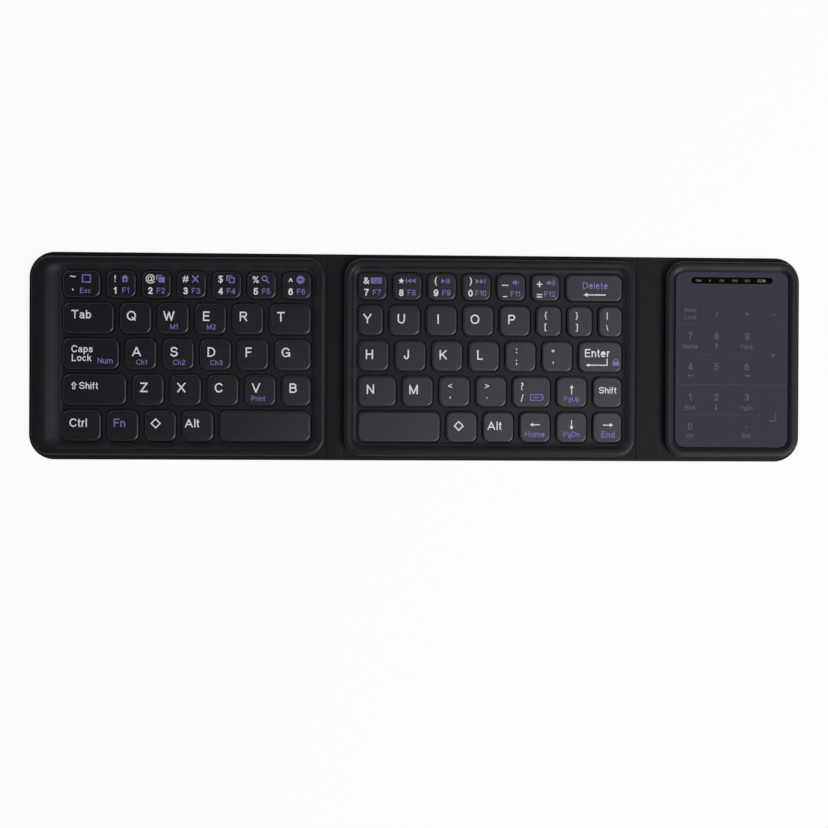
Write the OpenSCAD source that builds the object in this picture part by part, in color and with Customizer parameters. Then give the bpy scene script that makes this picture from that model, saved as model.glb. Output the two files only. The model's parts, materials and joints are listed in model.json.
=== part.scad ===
// Folding keyboard in three panels on one soft cover. The left key panel folds face to face
// onto the middle key panel, and the touch number pad on the right folds over both.
// Millimetres. X runs along the key rows, +Y points to the rear (number row), +Z up.
// The origin is under the middle of the open keyboard.

/* [Keys] */
// Pitch of the letter keys along a row
key_pitch = 16.9; // [16:0.1:18]
// Pitch from one row of keys to the next
row_pitch = 16.25; // [15.5:0.05:17.5]
// Depth of the keycaps in the number row
number_cap_d = 12.4; // [11:0.1:14]
// Gap between neighbouring keycaps in a row
cap_gap_x = 2.7; // [2.2:0.1:3.4]
// Gap between the keycaps of two rows
cap_gap_y = 2.2; // [2:0.1:3]
// Corner radius of a keycap
cap_r = 3.4; // [1.5:0.1:4]
// Rounding of a keycap's upper edge
cap_edge_r = 0.65; // [0.2:0.05:0.8]
// Height of a keycap
cap_h = 1.8; // [1.6:0.1:2.4]
// Wall and top of a keycap
cap_wall = 0.8; // [0.6:0.05:1]
// Travel of a key
key_travel = 1; // [0.8:0.1:1.5]
// How far the keycaps stay below the rim
cap_drop = 0.35; // [0.2:0.05:0.8]
// Gap around a keycap in its opening
cap_clear = 0.3; // [0.2:0.05:0.4]

/* [Key trays] */
// Length of the middle block of keys
middle_field_w = 121.6; // [118:0.1:132]
// Width of the flat rim around a tray
rim_w = 2.8; // [2.4:0.1:4]
// Width of the slope from the rim down to the key web
rim_slope_w = 2.2; // [1.2:0.1:3]
// Depth of the key web below the rim
recess_depth = 1.6; // [1.2:0.1:1.8]
// Thickness of the web between the keys
web_t = 0.8; // [0.6:0.05:1]
// Web between the slope and the outermost keycaps
web_border = 1.4; // [0.8:0.1:3]
// Wall of a tray under its rim
tray_wall = 1.5; // [1:0.1:2]
// Corner radius of a tray
tray_r = 8.5; // [7.5:0.5:12]
// Rounding of a tray's outer upper edge
rim_edge_r = 0.6; // [0.3:0.1:0.8]
// Extra rim at the free end of the left tray, over the circuit board
end_land_w = 5.4; // [5.4:0.1:8]
// Extra web beside that rim
end_border = 2.1; // [1:0.1:4]
// Diameter of the stakes that hold a tray's layers
stake_d = 1.2; // [0.8:0.1:1.4]

/* [Touch pad] */
// Width of the touch glass
glass_w = 52.6; // [45:0.1:65]
// Thickness of the touch glass
glass_t = 0.8; // [0.6:0.1:1.1]
// Corner radius of the touch glass
glass_r = 4.5; // [2:0.5:7]
// Rim around the touch glass
glass_border = 4.5; // [3.5:0.1:8]
// How far the touch glass lies below the rim
glass_drop = 0.3; // [0.1:0.05:0.4]
// Thickness of the touch circuit board
touch_board_t = 0.6; // [0.4:0.1:0.8]
// Ledge that carries the touch circuit board
ledge_w = 2; // [1:0.1:3]
// Length of the indicator window
window_w = 38; // [20:0.5:42]
// Width of the indicator window
window_d = 3; // [2:0.1:5]
// From the rear edge of the glass to the middle of the indicator window
window_inset = 4.2; // [3:0.1:8]
// Thickness of the indicator window
window_t = 0.4; // [0.3:0.05:0.5]
// Length of the battery
battery_l = 52; // [30:1:60]
// Width of the battery
battery_w = 34; // [20:1:38]
// Thickness of the battery
battery_t = 1.5; // [1:0.1:1.6]

/* [Cover] */
// Thickness of the outer skin of the cover
skin_t = 0.6; // [0.4:0.05:1]
// Thickness of the lining of the cover
lining_t = 0.6; // [0.4:0.05:1]
// Cover that shows in front of and behind the trays
side_margin = 2.15; // [1:0.05:6]
// Cover that shows beyond the trays at the two ends
end_margin = 1.6; // [1:0.1:5]
// Corner radius of the cover
cover_r = 11.5; // [8:0.5:16]
// From a crease to the tray beside it
crease_setback = 0.4; // [0.2:0.05:1]
// Clearance between panels that lie folded on each other
fold_clear = 0.2; // [0.1:0.05:0.5]
// How much shorter the left panel is than the middle panel
fold_room = 0.5; // [0.3:0.1:2]

/* [Inside] */
// Thickness of the steel backplates
plate_t = 0.3; // [0.2:0.05:0.5]
// Thickness of the key membranes
membrane_t = 0.3; // [0.2:0.05:0.4]
// Gap left under a keycap that is fully pressed
press_clear = 0.05; // [0.05:0.01:0.3]
// Base diameter of a rubber dome
dome_d = 4.8; // [4:0.1:5.2]
// Length of a scissor link
scissor_l = 8.2; // [7.2:0.1:8.6]
// Thickness of a scissor link
scissor_t = 0.4; // [0.3:0.05:0.5]
// Width of the ribbon that joins the panels
ribbon_w = 14; // [8:1:24]
// Thickness of the ribbon
ribbon_t = 0.15; // [0.1:0.01:0.2]
// Distance of the ribbon from the middle of the cover, to the rear
ribbon_y = 18; // [10:1:20]
// Diameter of the closing magnets
magnet_d = 3; // [2:0.1:3.2]
// Thickness of the closing magnets
magnet_t = 1.4; // [1:0.1:1.6]
// From the free end of a tray to its magnets
magnet_inset = 22; // [15:1:40]
// Length of the main circuit board
main_board_l = 40; // [30:1:44]
// Thickness of the main circuit board
main_board_t = 0.8; // [0.6:0.1:1]

/* [Charging socket] */
// Outer width of the socket shell
port_w = 8.94; // [8.94:0.01:9.2]
// Outer height of the socket shell
port_h = 3.16; // [3:0.01:3.2]
// Length of the socket shell
port_l = 7.35; // [6.5:0.05:7.4]
// Wall of the socket shell
port_wall = 0.3; // [0.2:0.01:0.31]
// Distance of the socket from the middle of the end, to the rear
port_y = 14; // [6:1:16]

/* [Hidden] */

$fn = 48;
eps = 0.01;
seam = 0.001;               // overlap of a plate's straight runs with its rounded corners
fit_clear = 0.15;           // gap around a layer or an insert in its pocket
groove_clear = 0.1;         // gap over the ribbon in its groove, and around the socket's mouth
edge_steps = 4;             // facets across a rounded edge
slope_steps = 6;            // facets down the slope of a rim

skin_color = "#242427";
lining_color = "#2c2c30";
tray_color = "#2b2b2f";
cap_color = "#333338";
steel_color = "#9a9da2";
film_color = "#33383a";
rubber_color = "#d8d8d2";
link_color = "#e6e6e6";
magnet_color = "#b9bcc2";
board_color = "#1f5a3a";
chip_color = "#1b1b1d";
ribbon_color = "#b5722c";
glass_color = "#3d3b48";
window_color = "#050507";
led_color = "#f4f4e8";
battery_color = "#8d949c";

// Heights. The tray is as tall as its layers, a pressed key, the travel and the drop.
cover_t = skin_t + lining_t;
plate_z = cover_t + plate_t;
membrane_z = plate_z + membrane_t;
cap_z = membrane_z + press_clear + key_travel;
cap_top = cap_z + cap_h;
tray_top = cap_top + cap_drop;
tray_h = tray_top - cover_t;
web_top = tray_top - recess_depth;
web_z = web_top - web_t;
cap_ceiling = cap_top - cap_wall;
glass_top = tray_top - glass_drop;
touch_top = glass_top - glass_t;
touch_z = touch_top - touch_board_t;

// Lengths along X and Y
rim_total = rim_w + rim_slope_w;
tray_edge = rim_total + web_border;
field_d = number_cap_d + 4 * row_pitch;
tray_d = field_d + 2 * tray_edge;
middle_tray_w = middle_field_w + 2 * tray_edge;
left_tray_w = middle_tray_w + crease_setback - end_margin - fold_room;
end_extra = end_land_w + end_border;
left_field_w = left_tray_w - 2 * tray_edge - end_extra;
right_tray_w = glass_w + 2 * glass_border;
glass_d = tray_d - 2 * glass_border;
spine_left_w = 2 * tray_h + fold_clear;
spine_right_w = 3 * tray_h + cover_t + 2 * fold_clear;
cover_w = 2 * end_margin + left_tray_w + middle_tray_w + right_tray_w
    + spine_left_w + spine_right_w + 4 * crease_setback;
cover_d = tray_d + 2 * side_margin;

// Places along X, from left to right
left_end = -cover_w / 2;
left_tray_x = left_end + end_margin;
crease_1 = left_tray_x + left_tray_w + crease_setback;
crease_2 = crease_1 + spine_left_w;
middle_tray_x = crease_2 + crease_setback;
crease_3 = middle_tray_x + middle_tray_w + crease_setback;
crease_4 = crease_3 + spine_right_w;
right_tray_x = crease_4 + crease_setback;
right_end = cover_w / 2;

// The two key trays: 0 is the left one, 1 the middle one
LEFT = 0;
MIDDLE = 1;
TRAY_X = [left_tray_x, middle_tray_x];
TRAY_W = [left_tray_w, middle_tray_w];
FIELD_X = [left_tray_x + tray_edge + end_extra, middle_tray_x + tray_edge];
FIELD_W = [left_field_w, middle_field_w];
FIELD_REAR = field_d / 2;

// Width of each key with its gap, in key pitches, rear row first. A 0 fills the row.
num = 0.94;
ROWS = [
    [[0, num, num, num, num, num, num],
     [1.53, 1, 1, 1, 1, 0],
     [1.67, 1, 1, 1, 1, 0],
     [1.87, 1, 1, 1, 1, 0],
     [1.2, 1, 1, 1, 0]],
    [[num, num, num, num, num, num, 0],
     [0.84, 1, 1, 1, 1, 0.85, 0.85, 0],
     [1, 1, 1, 1, 1, 1, 0],
     [1.2, 1, 1, 1, 1.2, 1, 0],
     [2.4, 1, 1, 1, 1, 0]],
];

// Closing magnets stand in the front and rear rims and meet when the panels are folded
magnet_y = tray_d / 2 - rim_w;
left_magnet_x = left_tray_x + magnet_inset;
middle_magnet_x = crease_1 + crease_2 - left_magnet_x;
right_magnet_x = right_tray_x + right_tray_w - magnet_inset;

// Circuit board and socket at the free end of the left tray
board_x = left_tray_x + tray_wall + fit_clear;
board_w = rim_w + end_land_w - tray_wall - 2 * fit_clear;
board_z = membrane_z + press_clear;
port_x = left_tray_x + fit_clear;
port_z = cover_t + press_clear + port_h / 2;

// Ribbon: it lies on the skin and rises into each tray
riser_t = 0.3;
riser_inset = rim_total + 0.6;
pad_riser_inset = glass_border + ledge_w + 1;
LEFT_RISER = crease_1 - crease_setback - riser_inset;
MIDDLE_RISER_1 = middle_tray_x + riser_inset;
MIDDLE_RISER_2 = middle_tray_x + middle_tray_w - riser_inset;
RIGHT_RISER = right_tray_x + pad_riser_inset;

// Key layout
function sum(list, count) = count <= 0 ? 0 : list[count - 1] + sum(list, count - 1);
function pitches(side, row) =
    let (units = ROWS[side][row],
         rest = FIELD_W[side] + cap_gap_x - key_pitch * sum(units, len(units)))
    [for (u = units) u == 0 ? rest : u * key_pitch];
function cap_w(side, row, i) = pitches(side, row)[i] - cap_gap_x;
function cap_x(side, row, i) =
    FIELD_X[side] + sum(pitches(side, row), i) + cap_w(side, row, i) / 2;
function cap_d(row) = row == 0 ? number_cap_d : row_pitch - cap_gap_y;
function cap_rear(row) =
    row == 0 ? FIELD_REAR : FIELD_REAR - number_cap_d - cap_gap_y - (row - 1) * row_pitch;
function cap_y(row) = cap_rear(row) - cap_d(row) / 2;
function gap_y(row) = cap_rear(row) - cap_d(row) - cap_gap_y / 2;

// Points of a section that is the same on both sides of its middle
function section(half, profile) = concat(
    [for (p = profile) [half + p[0], p[1]]],
    [for (i = [len(profile) - 1:-1:0]) [-half - profile[i][0], profile[i][1]]]);
// Upright side from z0 to z1 that ends in a rounded edge
function rounded_edge(z0, z1, r) = concat([[0, z0]],
    [for (i = [0:edge_steps]) let (a = 90 * i / edge_steps) [r * cos(a) - r, z1 - r + r * sin(a)]]);
// Soft slope that leans out by w while it rises from z0 to z1, and goes on past z1
function soft_slope(w, z0, z1) = concat(
    [for (i = [0:slope_steps]) let (t = i / slope_steps) [w * t, z0 + (z1 - z0) * t * t * (3 - 2 * t)]],
    [[w, z1 + 1]]);

// Plate with rounded corners of radius r, whose sides follow a profile of [outward, z] points
module plate(w, d, r, profile) {
    half_x = w / 2 - r;
    half_y = d / 2 - r;
    last = len(profile) - 1;
    rotate([90, 0, 90]) linear_extrude(2 * half_x + seam, center = true) polygon(section(d / 2, profile));
    rotate([90, 0, 0]) linear_extrude(2 * half_y + seam, center = true) polygon(section(w / 2, profile));
    for (corner = [0:3]) {
        sx = corner == 0 || corner == 3 ? 1 : -1;
        sy = corner < 2 ? 1 : -1;
        translate([sx * half_x, sy * half_y, 0]) rotate(90 * corner) rotate_extrude(angle = 90)
            polygon(concat([[0, profile[0][1]]], [for (p = profile) [r + p[0], p[1]]],
                [[0, profile[last][1]]]));
    }
}

// Flat shapes
module rounded(w, d, r) {
    square([w - 2 * r, d], center = true);
    square([w, d - 2 * r], center = true);
    for (sx = [-1, 1], sy = [-1, 1]) translate([sx * (w / 2 - r), sy * (d / 2 - r)]) circle(r);
}
module slab(w, d, r, z0, z1) {
    translate([0, 0, z0]) linear_extrude(z1 - z0) rounded(w, d, r);
}
// Block given by its low and high limits
module block(x0, x1, y0, y1, z0, z1) {
    translate([x0, y0, z0]) cube([x1 - x0, y1 - y0, z1 - z0]);
}

// Outline of the whole cover, cut to the stretch from x0 to x1
module cover_piece(x0, x1, z0, z1) {
    translate([0, 0, z0]) linear_extrude(z1 - z0) intersection() {
        rounded(cover_w, cover_d, cover_r);
        translate([x0, -cover_d / 2]) square([x1 - x0, cover_d]);
    }
}
// Room for the ribbon from a crease to its riser, and the window that the riser passes
module ribbon_groove(x0, x1, riser) {
    half = ribbon_w / 2 + fit_clear;
    block(x0, x1, ribbon_y - half, ribbon_y + half, skin_t - eps, skin_t + ribbon_t + groove_clear);
    riser_window(riser);
}
module riser_window(riser) {
    half_t = riser_t / 2 + fit_clear;
    half = ribbon_w / 2 + fit_clear;
    block(riser - half_t, riser + half_t, ribbon_y - half, ribbon_y + half, skin_t - eps, web_z);
}
module ribbon_tail(crease, riser, top) {
    outer = crease < riser ? riser + riser_t / 2 : riser - riser_t / 2;
    half = ribbon_w / 2;
    block(min(crease, outer), max(crease, outer), ribbon_y - half, ribbon_y + half,
        skin_t, skin_t + ribbon_t);
    block(riser - riser_t / 2, riser + riser_t / 2, ribbon_y - half, ribbon_y + half, skin_t, top);
}

// Spots of the stakes in a key tray, between the rows
module at_stakes(side) {
    for (row = [0:3], f = [0.1, 0.37, 0.63, 0.9])
        translate([FIELD_X[side] + f * FIELD_W[side], gap_y(row), 0]) children();
}
module at_magnets(x) {
    for (sy = [-1, 1]) translate([x, sy * magnet_y, 0]) children();
}
module magnet_pair(x) {
    color(magnet_color) at_magnets(x) translate([0, 0, plate_z]) cylinder(h = magnet_t, d = magnet_d);
}
module magnet_pockets(x) {
    at_magnets(x) translate([0, 0, cover_t - eps])
        cylinder(h = plate_t + magnet_t + groove_clear, d = magnet_d + fit_clear);
}

// Key trays
module tray_middle_of(side) {
    translate([TRAY_X[side] + TRAY_W[side] / 2, 0, 0]) children();
}
module key_frame(side) {
    land = side == LEFT ? end_land_w : 0;
    foot_w = TRAY_W[side] - 2 * rim_total - land;
    foot_r = tray_r - rim_total;
    difference() {
        tray_middle_of(side) plate(TRAY_W[side], tray_d, tray_r,
            rounded_edge(cover_t, tray_top, rim_edge_r));
        translate([TRAY_X[side] + rim_total + land + foot_w / 2, 0, 0])
            plate(foot_w, tray_d - 2 * rim_total, foot_r, soft_slope(rim_slope_w, web_top, tray_top));
        tray_middle_of(side) slab(TRAY_W[side] - 2 * tray_wall, tray_d - 2 * tray_wall,
            tray_r - tray_wall, cover_t - 1, web_z);
        key_openings(side);
        magnet_pockets(side == LEFT ? left_magnet_x : middle_magnet_x);
        if (side == LEFT) board_pocket();
    }
    at_stakes(side) translate([0, 0, cover_t]) cylinder(h = web_z - cover_t + eps, d = stake_d);
}
module key_openings(side) {
    for (row = [0:4], i = [0:len(ROWS[side][row]) - 1])
        translate([cap_x(side, row, i), cap_y(row), 0])
            slab(cap_w(side, row, i) + 2 * cap_clear, cap_d(row) + 2 * cap_clear, cap_r + cap_clear,
                web_z - 1, web_top + 1);
}
module board_pocket() {
    half = main_board_l / 2 + fit_clear;
    top = port_z + port_h / 2 + groove_clear;
    block(left_tray_x + tray_wall, left_tray_x + rim_w + end_land_w, port_y - half, port_y + half,
        cover_t - 1, top);
    translate([left_tray_x - 1, port_y, port_z]) rotate([90, 0, 90])
        linear_extrude(2 + tray_wall) port_outline(port_w + 2 * groove_clear, port_h + 2 * groove_clear);
}
module backplate(side) {
    edge = tray_wall + fit_clear;
    color(steel_color) difference() {
        tray_middle_of(side) slab(TRAY_W[side] - 2 * edge, tray_d - 2 * edge, tray_r - edge,
            cover_t, plate_z);
        at_stakes(side) translate([0, 0, cover_t - 1]) cylinder(h = 3, d = stake_d + 2 * fit_clear);
        if (side == LEFT) {
            riser_window(LEFT_RISER);
            socket_notch();
        }
        if (side == MIDDLE) {
            riser_window(MIDDLE_RISER_1);
            riser_window(MIDDLE_RISER_2);
        }
    }
}
module membrane(side) {
    land = side == LEFT ? end_land_w : 0;
    w = TRAY_W[side] - 2 * rim_total - land;
    color(film_color) {
        difference() {
            union() {
                translate([TRAY_X[side] + rim_total + land + w / 2, 0, 0])
                    slab(w, tray_d - 2 * rim_total, tray_r - rim_total, plate_z, membrane_z);
                if (side == LEFT) block(board_x, left_tray_x + rim_total + land + 1,
                    port_y - main_board_l / 2, port_y + main_board_l / 2, plate_z, membrane_z);
            }
            at_stakes(side) translate([0, 0, plate_z - 1]) cylinder(h = 3, d = stake_d + 2 * fit_clear);
            if (side == LEFT) socket_notch();
        }
        if (side == LEFT) ribbon_tail(crease_1, LEFT_RISER, membrane_z);
        if (side == MIDDLE) {
            ribbon_tail(crease_2, MIDDLE_RISER_1, membrane_z);
            ribbon_tail(crease_3, MIDDLE_RISER_2, membrane_z);
        }
    }
}
module domes(side) {
    color(rubber_color) for (row = [0:4], i = [0:len(ROWS[side][row]) - 1])
        translate([cap_x(side, row, i), cap_y(row), membrane_z])
            cylinder(h = cap_ceiling - membrane_z - press_clear, d1 = dome_d, d2 = 0.6 * dome_d);
}
// Two crossed frames under each keycap
module scissors(side) {
    rise = cap_ceiling - membrane_z - 2 * press_clear;
    lean = asin((rise - scissor_t) / scissor_l);
    bar = 0.7;
    inner_d = dome_d + 0.4;
    color(link_color) for (row = [0:4], i = [0:len(ROWS[side][row]) - 1])
        translate([cap_x(side, row, i), cap_y(row), (cap_ceiling + membrane_z) / 2]) {
            rotate([0, lean, 0]) link(scissor_l, inner_d + 2 * bar, inner_d, bar);
            rotate([0, -lean, 0]) link(scissor_l, inner_d + 4 * bar + 0.4, inner_d + 2 * bar + 0.4, bar);
        }
}
module link(l, d, inner, bar) {
    difference() {
        cube([l * cos(6), d, scissor_t], center = true);
        cube([l * cos(6) - 2 * bar, inner, 2 * scissor_t], center = true);
    }
}

module frame_middle() { color(tray_color) key_frame(MIDDLE); }
module frame_left() { color(tray_color) key_frame(LEFT); }
module backplate_middle() { backplate(MIDDLE); }
module backplate_left() { backplate(LEFT); }
module membrane_middle() { membrane(MIDDLE); }
module membrane_left() { membrane(LEFT); }
module domes_middle() { domes(MIDDLE); }
module domes_left() { domes(LEFT); }
module scissors_middle() { scissors(MIDDLE); }
module scissors_left() { scissors(LEFT); }
module magnets_middle() { magnet_pair(middle_magnet_x); }
module magnets_left() { magnet_pair(left_magnet_x); }
module magnets_right() { magnet_pair(right_magnet_x); }

// Circuit board and charging socket in the free end of the left tray
module main_board() {
    chip = 4.5;
    half = main_board_l / 2;
    middle_x = board_x + board_w / 2;
    color(board_color) difference() {
        block(board_x, board_x + board_w, port_y - half, port_y + half, board_z, board_z + main_board_t);
        socket_notch();
    }
    color(chip_color) for (side = [-1, 1])
        translate([middle_x - chip / 2, port_y + side * (half + port_w / 2) / 2 - chip / 2,
            board_z + main_board_t]) cube([chip, chip, 0.8]);
}
module socket_notch() {
    half = port_w / 2 + fit_clear;
    block(left_tray_x, port_x + port_l + fit_clear, port_y - half, port_y + half,
        cover_t - 1, tray_top);
}
module port_outline(w, h) {
    square([w - h, h], center = true);
    for (s = [-1, 1]) translate([s * (w - h) / 2, 0]) circle(d = h);
}
module usb_socket() {
    tongue_w = 6.69;
    tongue_t = 0.7;
    back_t = 1;
    translate([port_x, port_y, port_z]) rotate([90, 0, 90]) {
        color(steel_color) difference() {
            linear_extrude(port_l) port_outline(port_w, port_h);
            translate([0, 0, -1]) linear_extrude(port_l + 1 - back_t)
                port_outline(port_w - 2 * port_wall, port_h - 2 * port_wall);
        }
        color(chip_color) translate([-tongue_w / 2, -tongue_t / 2, port_l - back_t - 4.45])
            cube([tongue_w, tongue_t, 4.45 + eps]);
    }
}

// Cover, in one sheet with two creases at each spine
module cover_left() { color(skin_color) cover_piece(left_end, crease_1, 0, skin_t); }
module cover_middle() { color(skin_color) cover_piece(crease_2, crease_3, 0, skin_t); }
module cover_right() { color(skin_color) cover_piece(crease_4, right_end, 0, skin_t); }
module lining_left() {
    color(lining_color) difference() {
        cover_piece(left_end, crease_1, skin_t, cover_t);
        ribbon_groove(LEFT_RISER, crease_1 + 1, LEFT_RISER);
    }
}
module lining_middle() {
    color(lining_color) difference() {
        cover_piece(crease_2, crease_3, skin_t, cover_t);
        ribbon_groove(crease_2 - 1, MIDDLE_RISER_1, MIDDLE_RISER_1);
        ribbon_groove(MIDDLE_RISER_2, crease_3 + 1, MIDDLE_RISER_2);
    }
}
module lining_right() {
    color(lining_color) difference() {
        cover_piece(crease_4, right_end, skin_t, cover_t);
        ribbon_groove(crease_4 - 1, RIGHT_RISER, RIGHT_RISER);
    }
}
module spine(x0, x1) {
    half = ribbon_w / 2 + fit_clear;
    color(lining_color) difference() {
        cover_piece(x0, x1, 0, cover_t);
        block(x0 - 1, x1 + 1, ribbon_y - half, ribbon_y + half, skin_t, skin_t + ribbon_t + groove_clear);
    }
}
module ribbon_in_spine(x0, x1) {
    half = ribbon_w / 2;
    color(ribbon_color) block(x0, x1, ribbon_y - half, ribbon_y + half, skin_t, skin_t + ribbon_t);
}
module spine_left() { spine(crease_1, crease_2); }
module spine_right() { spine(crease_3, crease_4); }
module ribbon_spine_left() { ribbon_in_spine(crease_1, crease_2); }
module ribbon_spine_right() { ribbon_in_spine(crease_3, crease_4); }
module ribbon_right() { color(ribbon_color) ribbon_tail(crease_4, RIGHT_RISER, touch_z); }

// Touch number pad
module pad_middle() { translate([right_tray_x + right_tray_w / 2, 0, 0]) children(); }
module frame_right() {
    wall_w = glass_border + ledge_w;
    color(tray_color) difference() {
        pad_middle() plate(right_tray_w, tray_d, tray_r, rounded_edge(cover_t, tray_top, rim_edge_r));
        pad_middle() slab(glass_w + 2 * fit_clear, glass_d + 2 * fit_clear, glass_r + fit_clear,
            touch_z, tray_top + 1);
        pad_middle() slab(right_tray_w - 2 * wall_w, tray_d - 2 * wall_w, glass_r, cover_t - 1, tray_top);
        pad_middle() slab(right_tray_w - 2 * tray_wall, tray_d - 2 * tray_wall, tray_r - tray_wall,
            cover_t - 1, plate_z);
        magnet_pockets(right_magnet_x);
    }
}
module backplate_right() {
    edge = tray_wall + fit_clear;
    color(steel_color) difference() {
        pad_middle() slab(right_tray_w - 2 * edge, tray_d - 2 * edge, tray_r - edge, cover_t, plate_z);
        riser_window(RIGHT_RISER);
    }
}
module at_window() {
    translate([right_tray_x + right_tray_w / 2, glass_d / 2 - window_inset, 0]) children();
}
module touch_glass() {
    color(glass_color) difference() {
        pad_middle() slab(glass_w, glass_d, glass_r, touch_top, glass_top);
        at_window() translate([0, 0, touch_top - 1]) linear_extrude(glass_t + 2)
            port_outline(window_w, window_d);
    }
}
module indicator_window() {
    inset = groove_clear / 2;
    color(window_color) at_window() translate([0, 0, glass_top - window_t]) linear_extrude(window_t)
        port_outline(window_w - 2 * inset, window_d - 2 * inset);
}
module touch_board() {
    chip = 5;
    color(board_color) pad_middle() slab(glass_w, glass_d, glass_r, touch_z, touch_top);
    color(chip_color) pad_middle()
        translate([-chip / 2, glass_d / 2 - 2 * chip - ledge_w, touch_z - 0.8]) cube([chip, chip, 0.8]);
}
module indicator_leds() {
    led_h = glass_t - window_t - press_clear;
    count = 6;
    step = (window_w - window_d) / count;
    color(led_color) at_window() for (i = [0:count - 1])
        translate([(i - (count - 1) / 2) * step - 0.8, -0.4, touch_top]) cube([1.6, 0.8, led_h]);
}
module battery() {
    front = -tray_d / 2 + glass_border + ledge_w + 1;
    color(battery_color) translate([right_tray_x + right_tray_w / 2, front + battery_l / 2, 0])
        plate(battery_w, battery_l, 2, rounded_edge(plate_z, plate_z + battery_t, 0.4));
}

// Keycaps
module caps(side, row, first, last) {
    color(cap_color) for (i = [first:last])
        translate([cap_x(side, row, i), cap_y(row), 0]) keycap(cap_w(side, row, i), cap_d(row));
}
module keycap(w, d) {
    difference() {
        plate(w, d, cap_r, rounded_edge(cap_z, cap_top, cap_edge_r));
        slab(w - 2 * cap_wall, d - 2 * cap_wall, cap_r - cap_wall, cap_z - 1, cap_ceiling);
    }
}
module key_esc() { caps(LEFT, 0, 0, 0); }
module keys_number_left() { caps(LEFT, 0, 1, 6); }
module key_tab() { caps(LEFT, 1, 0, 0); }
module keys_upper_left() { caps(LEFT, 1, 1, 5); }
module key_caps_lock() { caps(LEFT, 2, 0, 0); }
module keys_home_left() { caps(LEFT, 2, 1, 5); }
module key_shift_left() { caps(LEFT, 3, 0, 0); }
module keys_lower_left() { caps(LEFT, 3, 1, 5); }
module key_control() { caps(LEFT, 4, 0, 0); }
module key_function() { caps(LEFT, 4, 1, 1); }
module key_command_left() { caps(LEFT, 4, 2, 2); }
module key_alt_left() { caps(LEFT, 4, 3, 3); }
module key_space_left() { caps(LEFT, 4, 4, 4); }
module keys_number_right() { caps(MIDDLE, 0, 0, 5); }
module key_delete() { caps(MIDDLE, 0, 6, 6); }
module keys_upper_right() { caps(MIDDLE, 1, 0, 7); }
module keys_home_right() { caps(MIDDLE, 2, 0, 5); }
module key_enter() { caps(MIDDLE, 2, 6, 6); }
module keys_lower_right() { caps(MIDDLE, 3, 0, 4); }
module key_up() { caps(MIDDLE, 3, 5, 5); }
module key_shift_right() { caps(MIDDLE, 3, 6, 6); }
module key_space_right() { caps(MIDDLE, 4, 0, 0); }
module key_command_right() { caps(MIDDLE, 4, 1, 1); }
module key_alt_right() { caps(MIDDLE, 4, 2, 2); }
module key_arrow_left() { caps(MIDDLE, 4, 3, 3); }
module key_arrow_down() { caps(MIDDLE, 4, 4, 4); }
module key_arrow_right() { caps(MIDDLE, 4, 5, 5); }

cover_middle();
lining_middle();
frame_middle();
backplate_middle();
membrane_middle();
domes_middle();
scissors_middle();
magnets_middle();
cover_left();
lining_left();
frame_left();
backplate_left();
membrane_left();
domes_left();
scissors_left();
magnets_left();
main_board();
usb_socket();
spine_left();
ribbon_spine_left();
spine_right();
ribbon_spine_right();
cover_right();
lining_right();
frame_right();
backplate_right();
touch_glass();
indicator_window();
touch_board();
indicator_leds();
battery();
magnets_right();
ribbon_right();
key_esc();
keys_number_left();
key_tab();
keys_upper_left();
key_caps_lock();
keys_home_left();
key_shift_left();
keys_lower_left();
key_control();
key_function();
key_command_left();
key_alt_left();
key_space_left();
keys_number_right();
key_delete();
keys_upper_right();
keys_home_right();
key_enter();
keys_lower_right();
key_up();
key_shift_right();
key_space_right();
key_command_right();
key_alt_right();
key_arrow_left();
key_arrow_down();
key_arrow_right();
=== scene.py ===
"""Looks of the folding keyboard: the soft cover, the key trays, the printed keycaps and the touch pad.

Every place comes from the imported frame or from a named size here. Metres throughout; sizes in
millimetres are written as a number times MM.
"""

import json
import math

import bmesh
import bpy
from mathutils import Euler, Matrix, Vector
from mathutils.geometry import delaunay_2d_cdt, tessellate_polygon

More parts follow.
